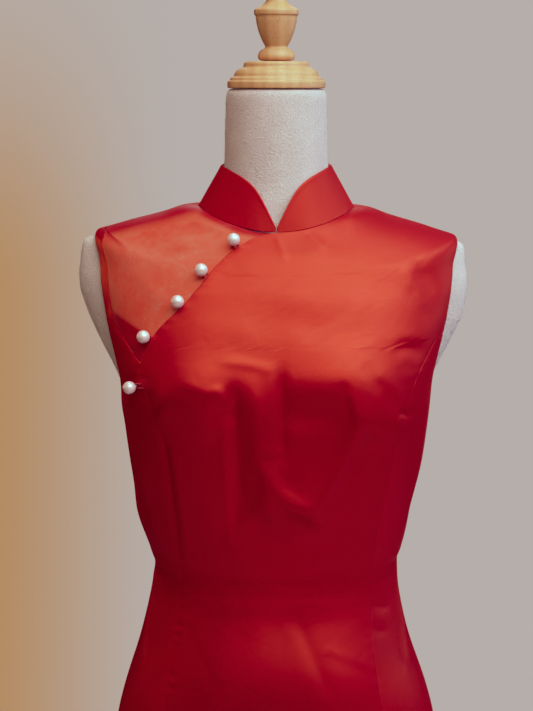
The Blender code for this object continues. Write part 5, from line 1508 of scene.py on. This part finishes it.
@dataclass
class Dress:
    """The sewn garment: every cut piece of satin and organza."""

    satin: bpy.types.Material
    organza: bpy.types.Material
    underlap: float = 9.0

    def panels(self) -> list[ClothPanel]:
        """Return each panel."""
        armhole = oval_stations(V_UNDERARM, V_TIP, 88)
        lower = [(V_HEM, 7.0), (860, 2.9)]
        whole = stations(lower + armhole + [(V_TIP, 0.7), (V_TIP + 3, 2.4)], V_NECK)
        sewn, open_arm = (0.0, 0.0), (V_UNDERARM + 1, V_TIP)
        left_rows = stations(lower + [r for r in armhole if r[0] < CUT.left_top], CUT.left_top + 2.0)
        right_rows = stations(lower + [r for r in armhole if r[0] < CUT.foot_top], CUT.foot_top - GAP / 2)
        yoke_rows = stations([(CUT.foot, 2.0), (CUT.foot_top, 1.8), (V_TIP, 1.4)], V_NECK)
        band_rows = stations([(CUT.foot_top + GAP / 2, 2.0), (V_TIP - 8, 0.5)], CUT.band_top)
        return [
            ClothPanel("front_cloth", "front_panel", whole, CUT.front_left, CUT.front_right, 80, (SEWN, SEWN),
                       (0.345, 1.06), 0.246, pucker=(0.7, 0.3), hem=True,
                       free=((CUT.flap, V_NECK), (CUT.left_top + CUT.seam_end, V_TIP))),
            ClothPanel("side_front_right_cloth", "side_front_right", right_rows, CUT.side(-1, -1),
                       CUT.right_inner, 26, (0.0, SEWN), (0.135, 0.85), 0.088, pucker=(0.1, 0.5),
                       hem=True, free=(open_arm, sewn)),
            ClothPanel("side_front_left_cloth", "side_front_left", left_rows, CUT.front_right,
                       CUT.side(-1, 1), 26, (SEWN, 0.0), (0.135, 0.83), 0.088, pucker=(0.3, 0.1),
                       hem=True, free=(sewn, open_arm)),
            ClothPanel("back_cloth", "back_panel", whole, CUT.side(1, 1), lambda v: 360 + CUT.side(1, -1)(v),
                       92, (0.0, 0.0), (0.50, 1.06), 0.415, pucker=(0.12, 0.12), hem=True,
                       free=(open_arm, open_arm)),
            YokePanel("yoke_cloth", "yoke_panel", yoke_rows, CUT.yoke_outer,
                      lambda v: CUT.front_left(v) + CUT.turn(v, self.underlap), 56, (0.1, 0.0),
                      (0.195, 0.285), 0.0245, thickness=ORGANZA, turned_rise=0.0, slot=Slot.ORGANZA,
                      free_ends=(False, False)),
            ClothPanel("armhole_band_cloth", "armhole_band", band_rows, CUT.side(-1, -1),
                       CUT.band_edge(CUT.band_width), 22, (0.0, 0.0), (0.036, 0.118), 0.0019,
                       turned_rise=0.0, free=((0.1, V_TIP), sewn), free_ends=(False, False)),
        ]

    def build(self) -> None:
        """Make every cut piece and the collar."""
        for panel in self.panels():
            panel.build(self.organza if panel.slot is Slot.ORGANZA else self.satin)
        Collar().build(self.satin)


# ---------------------------------------------------------------- the dress form and its stand
def through(rings: Sequence[np.ndarray], steps: int) -> np.ndarray:
    """Return rings laid smoothly through the given ones, with steps between each two."""
    rings = np.asarray(rings)
    padded = np.concatenate([2 * rings[:1] - rings[1:2], rings, 2 * rings[-1:] - rings[-2:-1]])
    laid = []
    for i in range(len(rings) - 1):
        before, low, high, after = padded[i:i + 4]
        gap_in, gap, gap_out = (np.linalg.norm(far - near, axis=-1, keepdims=True)
                                for near, far in ((before, low), (low, high), (high, after)))
        lead = (high - before) * gap / (gap_in + gap)
        tail = (after - low) * gap / (gap + gap_out)
        for t in np.arange(steps) / steps:
            laid.append((2 * t ** 3 - 3 * t ** 2 + 1) * low + (t ** 3 - 2 * t ** 2 + t) * lead
                        + (3 * t ** 2 - 2 * t ** 3) * high + (t ** 3 - t ** 2) * tail)
    laid.append(rings[-1])
    return np.array(laid)


@dataclass
class DressForm:
    """The limbless form: hips to shoulders, with arm caps and a neck, under a jersey cover."""

    finish: bpy.types.Material
    bottom: float = 750.0
    waist_rows: tuple[float, float, int] = (753.0, 1195.0, 46)
    chest_rows: tuple[float, float, int] = (1200.0, 1386.0, 64)
    shoulder_rows: tuple[float, float, int] = (1391.5, 1486.5, 22)
    neck_steps: int = 7
    foot_inset: float = 0.95
    cap_inset: float = 4.0
    cap_inset_top: float = 5.0
    columns: int = 216
    side_crowding: float = 3.5
    shown_neck: tuple[float, float] = (1418.0, 1440.0)

    def opening(self, v: float, side: int) -> float:
        """Return how far before (side -1) or behind the side line the arm cap reaches."""
        middle, half = (V_UNDERARM + V_TIP) / 2, (V_TIP - V_UNDERARM) / 2 - self.cap_inset_top
        depth = (CUT.armhole_front if side < 0 else CUT.armhole_back) - self.cap_inset
        return depth * math.sqrt(max(1 - ((v - middle) / half) ** 2, 0.0))

    def ring(self, v: float, angles: np.ndarray) -> tuple[np.ndarray, np.ndarray]:
        """Return the form's ring at a station, and how far its arm caps stand out there."""
        a = np.radians(angles)
        flank = np.sin(a) ** 2
        ease = BODY.at["ease_side"](v) * flank + np.where(
            np.cos(a) >= 0, BODY.at["ease_front"](v), BODY.at["ease_back"](v)) * (1 - flank)
        places = np.full(np.shape(angles), float(v))
        point = BODY.body(places, angles) - ease[..., None] * BODY.normal(BODY.body, places, angles)
        hand = np.sign(point[..., 0])
        heights, right, left = zip(*CAP_REACH)
        reach = np.where(hand < 0, np.interp(v, heights, right), np.interp(v, heights, left))
        opening = np.where(point[..., 1] < 0, self.opening(v, -1), self.opening(v, 1))
        out = reach * np.clip(1 - (np.abs(point[..., 1]) / np.maximum(opening, 0.1)) ** 2, 0, 1)
        return point + np.stack([hand * out, 0 * out, 0 * out], axis=-1), out

    def neck_ring(self, ring: NeckRing, angles: np.ndarray) -> np.ndarray:
        """Return a ring of the neck."""
        a = np.radians(angles)
        depth = np.where(np.cos(a) >= 0, -ring.y_front, ring.y_back)
        reach = 1 / np.hypot(np.sin(a) / ring.half_width, np.cos(a) / depth)
        end = np.where(np.cos(a) >= 0, ring.z_front, ring.z_back)
        return np.stack([reach * np.sin(a), -reach * np.cos(a),
                         ring.z_side + (end - ring.z_side) * np.cos(a) ** 2], axis=-1)

    def grid(self) -> tuple[np.ndarray, np.ndarray]:
        """Return the cover's rings from foot to neck, and how much each point shows."""
        spans = (self.waist_rows, self.chest_rows, self.shoulder_rows)
        rows = np.concatenate([np.linspace(*span) for span in spans])
        even = np.arange(self.columns) * 360 / self.columns
        angles = even - self.side_crowding * np.sin(np.radians(2 * even))
        rings, caps = zip(*(self.ring(v, angles) for v in rows))
        centre = rings[0].mean(axis=0)[:2]
        inset = (rings[0][:, :2] - centre) * self.foot_inset + centre
        foot = np.column_stack([inset, np.full(len(inset), self.bottom)])
        neck = through(list(rings[-2:]) + [self.neck_ring(n, angles) for n in NECK], self.neck_steps)
        grid = np.concatenate([[foot], rings, neck[self.neck_steps + 1:]])
        shown = np.zeros(grid.shape[:2])
        shown[1:1 + len(caps)] = np.clip(np.array(caps) / 5 - 0.4, 0, 1)
        return grid, np.maximum(shown, smooth(grid[..., 2], *self.shown_neck))

    def build(self) -> bpy.types.Object:
        """Make the cover over the whole form."""
        grid, shown = self.grid()
        middle = grid[1].mean(axis=0)
        points = np.concatenate([grid.reshape(-1, 3), [[middle[0], middle[1], self.bottom],
                                                       [0, 0, grid[-1, 0, 2]]]])
        index = np.arange(len(points) - 2).reshape(-1, self.columns)
        ahead = np.roll(index, -1, axis=1)
        quads = np.stack([index[:-1], ahead[:-1], ahead[1:], index[1:]], axis=-1).reshape(-1, 4)
        base, top = len(points) - 2, len(points) - 1
        faces = quads.tolist() + [(base, n, k) for k, n in zip(index[0], ahead[0])] \
            + [(top, k, n) for k, n in zip(index[-1], ahead[-1])]
        cover = mesh_object("form_cover", points, faces, layers={"shown": np.append(shown.ravel(), [0, 0])})
        cover.data.materials.append(self.finish)
        finish_piece(cover, Slot.JERSEY, "form_torso")
        return cover

    def grow_nap(self, cover: bpy.types.Object) -> bpy.types.Object:
        """Grow the short nap on what shows of the cover."""
        nap = Nap().make(placed("nap_root", cover.data.copy()), "form_nap", Density=185000.0,
                         Length=1.5 * MM, Radius=0.16 * MM, Lean=0.9, Seed=4, Material=self.finish)
        return finish_piece(nap, Slot.JERSEY)


def eased(profile: Points, rounds: int = 3, cut: float = 0.2) -> Points:
    """Return a turned profile with its corners eased by cutting them again and again."""
    points = np.array(profile, float)
    for _ in range(rounds):
        first, second = points[:-1], points[1:]
        eased_points = np.empty((2 * len(first), 2))
        eased_points[0::2] = first * (1 - cut) + second * cut
        eased_points[1::2] = first * cut + second * (1 - cut)
        points = np.concatenate([points[:1], eased_points, points[-1:]])
    return [tuple(p) for p in points]


@dataclass
class Stand:
    """The turned wood: neck cap, finial, pole and round base."""

    recipe: Turned
    finish: bpy.types.Material
    segments: int = 128

    def build(self) -> None:
        """Turn every piece."""
        for name, node, profile in (("cap_turned", "neck_cap", CAP_PROFILE),
                                    ("finial_turned", "finial", FINIAL_PROFILE),
                                    ("pole_turned", "pole", POLE_PROFILE),
                                    ("base_turned", "base", BASE_PROFILE)):
            points = eased(profile)
            piece = self.recipe.make(profile_object(name, points), name, Points=len(points),
                                     Segments=self.segments, Material=self.finish)
            finish_piece(piece, Slot.BEECH, node)


# ---------------------------------------------------------------- pearls and loops
@dataclass
class Closure:
    """The pearls on their shanks and the cord loops that hold them."""

    turned: Turned
    rouleau: Rouleau
    pearl_finish: bpy.types.Material
    cord_finish: bpy.types.Material
    radius: float = 6.5
    shank_radius: float = 1.2
    shank_length: float = 2.4
    bead_points: int = 44
    bead_segments: int = 72
    cord_radius: float = 0.8
    cord_sides: int = 14
    cord_step: float = 0.4
    bend_points: int = 18
    leg_points: int = 8
    clearance: float = 0.15
    furthest: float = 20.0
    halvings: int = 24

    def frame_at(self, x: float, z: float, lift: float) -> tuple[np.ndarray, np.ndarray]:
        """Return a point over the front at x and z, and its frame with the normal as third column."""
        v, angle = CUT.on_front(x, z)
        origin = BODY.cloth(np.array(v), np.array(angle), lift, fine=False)
        normal = BODY.normal(BODY.body, np.array(v), np.array(angle))
        right = unit(np.cross([0.0, 0.0, 1.0], -normal))
        return origin, np.stack([right, np.cross(normal, right), normal], axis=1)

    def beside(self, place: Pearl, forward: float, across: float) -> tuple[float, float]:
        """Return x and z of a point beside a pearl, forward to the flap's edge and across."""
        lead = math.radians(place.turn)
        return (place.x + forward * math.cos(lead) - across * math.sin(lead),
                place.z + forward * math.sin(lead) + across * math.cos(lead))

    def reach(self, place: Pearl, across: float) -> float:
        """Return how far forward of a pearl the flap's edge lies."""
        low, high = 0.0, self.furthest
        for _ in range(self.halvings):
            middle = (low + high) / 2
            v, angle = CUT.on_front(*self.beside(place, middle, across))
            if angle < CUT.front_left(v):
                low = middle
            else:
                high = middle
        return low - GAP - self.cord_radius * 0.5

    def pearl(self, index: int, place: Pearl) -> None:
        """Make one pearl with its shank."""
        bend = np.linspace(math.asin(self.shank_radius / self.radius), math.pi, self.bead_points)
        middle = self.shank_length + self.radius
        profile = [(0.0, 0.0), (self.shank_radius - 0.2, 0.0), (self.shank_radius, 0.25),
                   (self.shank_radius, self.shank_length - 0.1)]
        profile += [(self.radius * math.sin(t), middle - self.radius * math.cos(t)) for t in bend]
        piece = self.turned.make(profile_object(f"pearl_{index}", profile), f"pearl_bead_{index}",
                                 Points=len(profile), Segments=self.bead_segments, Material=self.pearl_finish)
        origin, axes = self.frame_at(place.x, place.z, place.lift + GAP)
        turned = Matrix(axes.tolist()).to_4x4()
        turned.translation = Vector(origin * MM)
        piece.data.transform(turned)
        finish_piece(piece, Slot.PEARL, f"pearl_{index}")

    def loop(self, index: int, place: Pearl) -> None:
        """Make one cord loop from the flap's edge round the shank and back."""
        height = place.lift + GAP + self.cord_radius + self.clearance
        around = self.shank_radius + GAP + self.cord_radius
        bend = [(around * math.cos(t), around * math.sin(t))
                for t in np.radians(np.linspace(90, 270, self.bend_points))]
        out = [(f, around) for f in np.linspace(self.reach(place, around), 0, self.leg_points)[:-1]]
        home = [(f, -around) for f in np.linspace(0, self.reach(place, -around), self.leg_points)[1:]]
        path = [self.frame_at(*self.beside(place, f, a), height)[0] for f, a in out + bend + home]
        piece = self.rouleau.make(path_object(f"loop_{index}", [np.array(path)]), f"loop_cord_{index}",
                                  Radius=self.cord_radius * MM, Sides=self.cord_sides,
                                  Step=self.cord_step * MM, Material=self.cord_finish)
        finish_piece(piece, Slot.SATIN, f"loop_{index}")

    def build(self) -> None:
        """Make every pearl and loop."""
        for index, place in enumerate(PEARLS, start=1):
            self.pearl(index, place)
            self.loop(index, place)


# ---------------------------------------------------------------- stitches
@dataclass
class Needlework:
    """Stitches: the blind hem, the slits' bar tacks and the row that holds the armhole binding."""

    recipe: StitchRow
    finish: bpy.types.Material
    hem_depth: float = 29.0
    hem_ends: float = 1.5
    hem_lift: float = 0.12
    hem_points: int = 240
    tack_step: float = 1.2
    tack_half: float = 3.2
    tack_lift: float = 0.45
    tack_points: int = 16
    binding_inset: float = 1.1
    binding_lift: float = 0.02
    binding_points: int = 90

    def hem(self) -> list[np.ndarray]:
        """Return the paths of the blind hem, front and back."""
        v = V_HEM + self.hem_depth
        ends = [(CUT.side(-1, -1)(v), CUT.side(-1, 1)(v)), (CUT.side(1, 1)(v), 360 + CUT.side(1, -1)(v))]
        return [BODY.cloth(np.full(self.hem_points, v),
                           np.linspace(start + self.hem_ends, end - self.hem_ends, self.hem_points),
                           self.hem_lift) for start, end in ends]

    def tacks(self) -> list[np.ndarray]:
        """Return the paths of the bar tacks at the slits' tops, three rows on each side."""
        paths = []
        for hand in (-1, 1):
            for row in (-1, 0, 1):
                v = V_SLIT + self.tack_step * row
                turn = CUT.turn(v, self.tack_half)
                angles = np.linspace(hand * 90 - turn, hand * 90 + turn, self.tack_points)
                paths.append(BODY.cloth(np.full(self.tack_points, v), angles, self.tack_lift))
        return paths

    def binding(self) -> list[np.ndarray]:
        """Return the path of the row along the armhole binding."""
        places = np.linspace(CUT.foot_top + 3, V_TIP + 2, self.binding_points)
        edge = CUT.band_edge(CUT.band_width - self.binding_inset)
        return [BODY.cloth(places, np.array([edge(v) for v in places]), self.binding_lift)]

    def build(self) -> None:
        """Sew every row: its name, paths, spacing, stitch length and radius."""
        for seed, (name, paths, spacing, length, radius) in enumerate((
                ("hem_stitches", self.hem(), 9.0, 1.1, 0.11), ("slit_tacks", self.tacks(), 1.5, 1.7, 0.28),
                ("binding_stitches", self.binding(), 2.4, 1.9, 0.13))):
            piece = self.recipe.make(path_object(name, paths), name, Spacing=spacing * MM,
                                     Length=length * MM, Radius=radius * MM, Seed=seed, Material=self.finish)
            finish_piece(piece, Slot.SATIN)


# ---------------------------------------------------------------- the studio
class SoftBox(NamedTuple):
    """A square soft box on a circle round the figure, turned towards it."""

    name: str
    azimuth: float
    elevation: float
    watts: float
    colour: Colour


SOFT_BOXES = table(
    SoftBox,
    ("left_far", -115, 6, 8.5, (1, 0.6, 0.25)),
    ("left_near", -75, 6, 3.2, (1, 0.62, 0.3)),
    ("front_low", -10, 5, 0.6, (1, 0.8, 0.62)),
    ("right_low", 50, 5, 1.6, (1, 0.9, 0.86)),
    ("right_window_low", 92, 5, 4.2, (0.82, 1, 1.34)),
    ("right_window_back", 115, 5, 4, (0.9, 1.02, 1.15)),
    ("front_left", -38, 46, 6, (1, 0.76, 0.52)),
    ("front_middle", 8, 24, 9.5, (1, 0.8, 0.68)),
    ("right_middle", 46, 24, 11, (0.88, 0.88, 0.98)),
    ("front_high", -8, 43, 15.5, (1, 0.86, 0.72)),
    ("front_right", 20, 41, 20.5, (1, 0.86, 0.8)),
    ("right_high", 46, 43, 21, (0.88, 0.92, 1.06)),
    ("right_window_high", 85, 40, 10, (0.84, 1.02, 1.26)),
    ("right_window_top", 115, 40, 3.5, (0.84, 1.04, 1.26)),
    ("right_top", 50, 66, 12, (1, 0.93, 0.92)),
    ("behind", 180, 30, 5, (1, 0.95, 0.92)),
    ("top", 0, 88, 23, (1, 0.88, 0.84)),
)


@dataclass
class Studio:
    """Camera, soft lights, pale floor and a plain pale surround."""

    camera_place: tuple[float, float, float] = (-0.010, -1.73, 1.536)
    sensor: float = 36.0
    tilt_pixels: float = 275.0
    focus_pixels: float = 1679.0
    frame_height: float = 711.0
    light_height: float = 1.25
    light_distance: float = 2.6
    light_size: float = 1.1
    floor_radius: float = 2.0
    floor_corners: int = 96
    floor_colours: tuple[Colour, Colour] = ((0.45, 0.41, 0.37), (0.49, 0.45, 0.41))
    shoulder: Points = ((0.15, 0.15), (0.30, 0.30), (0.50, 0.462), (0.70, 0.567))
    shoulder_end: tuple[float, float] = (1.0, 0.66)
    toe: Points = ((0.016, 0.0008), (0.046, 0.033))
    grey: Colour = (0.505, 0.430, 0.400)
    # painted warm light on the surround, strongest at the lower left
    tan: Colour = (0.488, 0.268, 0.118)
    tan_across: tuple[float, float] = (-0.045, -0.168)
    tan_down: tuple[float, float] = (0.08, -0.13)
    tan_least: float = 0.12
    ambient: Colour = (1.0, 0.88, 0.78)
    ambient_level: float = 0.010

    def camera(self) -> None:
        """Place the camera."""
        made = placed("camera", bpy.data.cameras.new("camera"))
        made.data.sensor_width = self.sensor
        made.data.lens = self.sensor * self.focus_pixels / self.frame_height
        made.location = self.camera_place
        made.rotation_euler = (math.radians(90) - math.atan(self.tilt_pixels / self.focus_pixels), 0, 0)
        bpy.context.scene.camera = made

    def lights(self) -> None:
        """Place the soft boxes."""
        middle = Vector((0.0, 0.0, self.light_height))
        for box in SOFT_BOXES:
            light = bpy.data.lights.new(box.name, "AREA")
            light.shape, light.size = "SQUARE", self.light_size
            light.energy, light.color = box.watts, box.colour
            made = placed(box.name, light)
            side, rise = math.radians(box.azimuth), math.radians(box.elevation)
            way = Vector((math.sin(side) * math.cos(rise), -math.cos(side) * math.cos(rise), math.sin(rise)))
            made.location = middle + way * self.light_distance
            made.rotation_euler = (-way).to_track_quat("-Z", "Y").to_euler()

    def floor(self) -> None:
        """Lay the pale floor."""
        turn = np.linspace(0, 2 * math.pi, self.floor_corners + 1)[:-1]
        rim = np.column_stack([np.cos(turn), np.sin(turn), 0 * turn]) * self.floor_radius / MM
        rim[:, 2] = -1.0
        floor = mesh_object("floor", rim, [tuple(range(self.floor_corners))])
        made, net, shader = principled("floor_pale", Roughness=0.75, Specular_IOR_Level=0.3)
        place = net.add("ShaderNodeTexCoord").outputs["Object"]
        cloud = net.noise(place, (5, 5, 5), 3.0)
        net.tree.links.new(net.blend(net.shift(cloud, 0, 1), *self.floor_colours),
                           shader.inputs["Base Color"])
        net.tree.links.new(net.bumps((net.noise(place, (300, 300, 300), 3.0), 0.1, 0.0005)),
                           shader.inputs["Normal"])
        floor.data.materials.append(made)

    def surround(self) -> None:
        """Make the plain surround: grey, with painted warm light that turns it tan towards the left and the
        bottom.
        """
        world = bpy.data.worlds.new("surround")
        bpy.context.scene.world = world
        world.use_nodes = True
        net = Net(world.node_tree)
        world.node_tree.nodes.clear()
        part = net.split(net.add("ShaderNodeTexCoord").outputs["Generated"]).outputs
        # painted warm light: the surround turns tan towards the left and the bottom
        left = net.shift(part[0], 0.0, 1.0, *self.tan_across, "SMOOTHSTEP")
        low = net.shift(part[2], self.tan_least, 1.0, *self.tan_down, "SMOOTHSTEP")
        colour = net.blend(net.math("MULTIPLY", left, low), self.grey, self.tan)
        shown = net.add("ShaderNodeBackground", {0: colour, 1: 1.0})
        dim = net.add("ShaderNodeBackground", {0: (*self.ambient, 1), 1: self.ambient_level})
        seen = net.add("ShaderNodeLightPath").outputs["Is Camera Ray"]
        mix = net.add("ShaderNodeMixShader", {0: seen, 1: dim.outputs[0], 2: shown.outputs[0]})
        net.add("ShaderNodeOutputWorld", {0: mix.outputs[0]})

    def view(self) -> None:
        """Set the view transform: a soft shoulder for red and a low toe for green."""
        settings = bpy.context.scene.view_settings
        settings.view_transform = "Standard"
        settings.look = "None"
        settings.exposure = 0.0
        settings.use_curve_mapping = True
        red, green = settings.curve_mapping.curves[0], settings.curve_mapping.curves[1]
        for curve, points in ((red, self.shoulder), (green, self.toe)):
            for place, value in points:
                curve.points.new(place, value)
        red.points[len(red.points) - 1].location = self.shoulder_end
        for curve, handle in ((red, "AUTO"), (green, "VECTOR")):
            for point in curve.points:
                point.handle_type = handle
        settings.curve_mapping.update()

    def build(self) -> None:
        """Set up the studio."""
        self.camera()
        self.lights()
        self.floor()
        self.surround()
        self.view()


def main() -> None:
    """Make every piece of the dress, the form and the studio."""
    logging.basicConfig(level=logging.INFO, format="%(name)s %(message)s")
    Studio().build()
    Dress(SatinFinish().make(), OrganzaFinish().make()).build()
    form = DressForm(JerseyFinish().make())
    form.grow_nap(form.build())
    turned = Turned()
    Stand(turned, BeechFinish().make()).build()
    Closure(turned, Rouleau(), PearlFinish().make(), ThreadFinish("red_cord").make()).build()
    Needlework(StitchRow(), ThreadFinish("red_thread").make()).build()


if __name__ == "__main__":
    main()
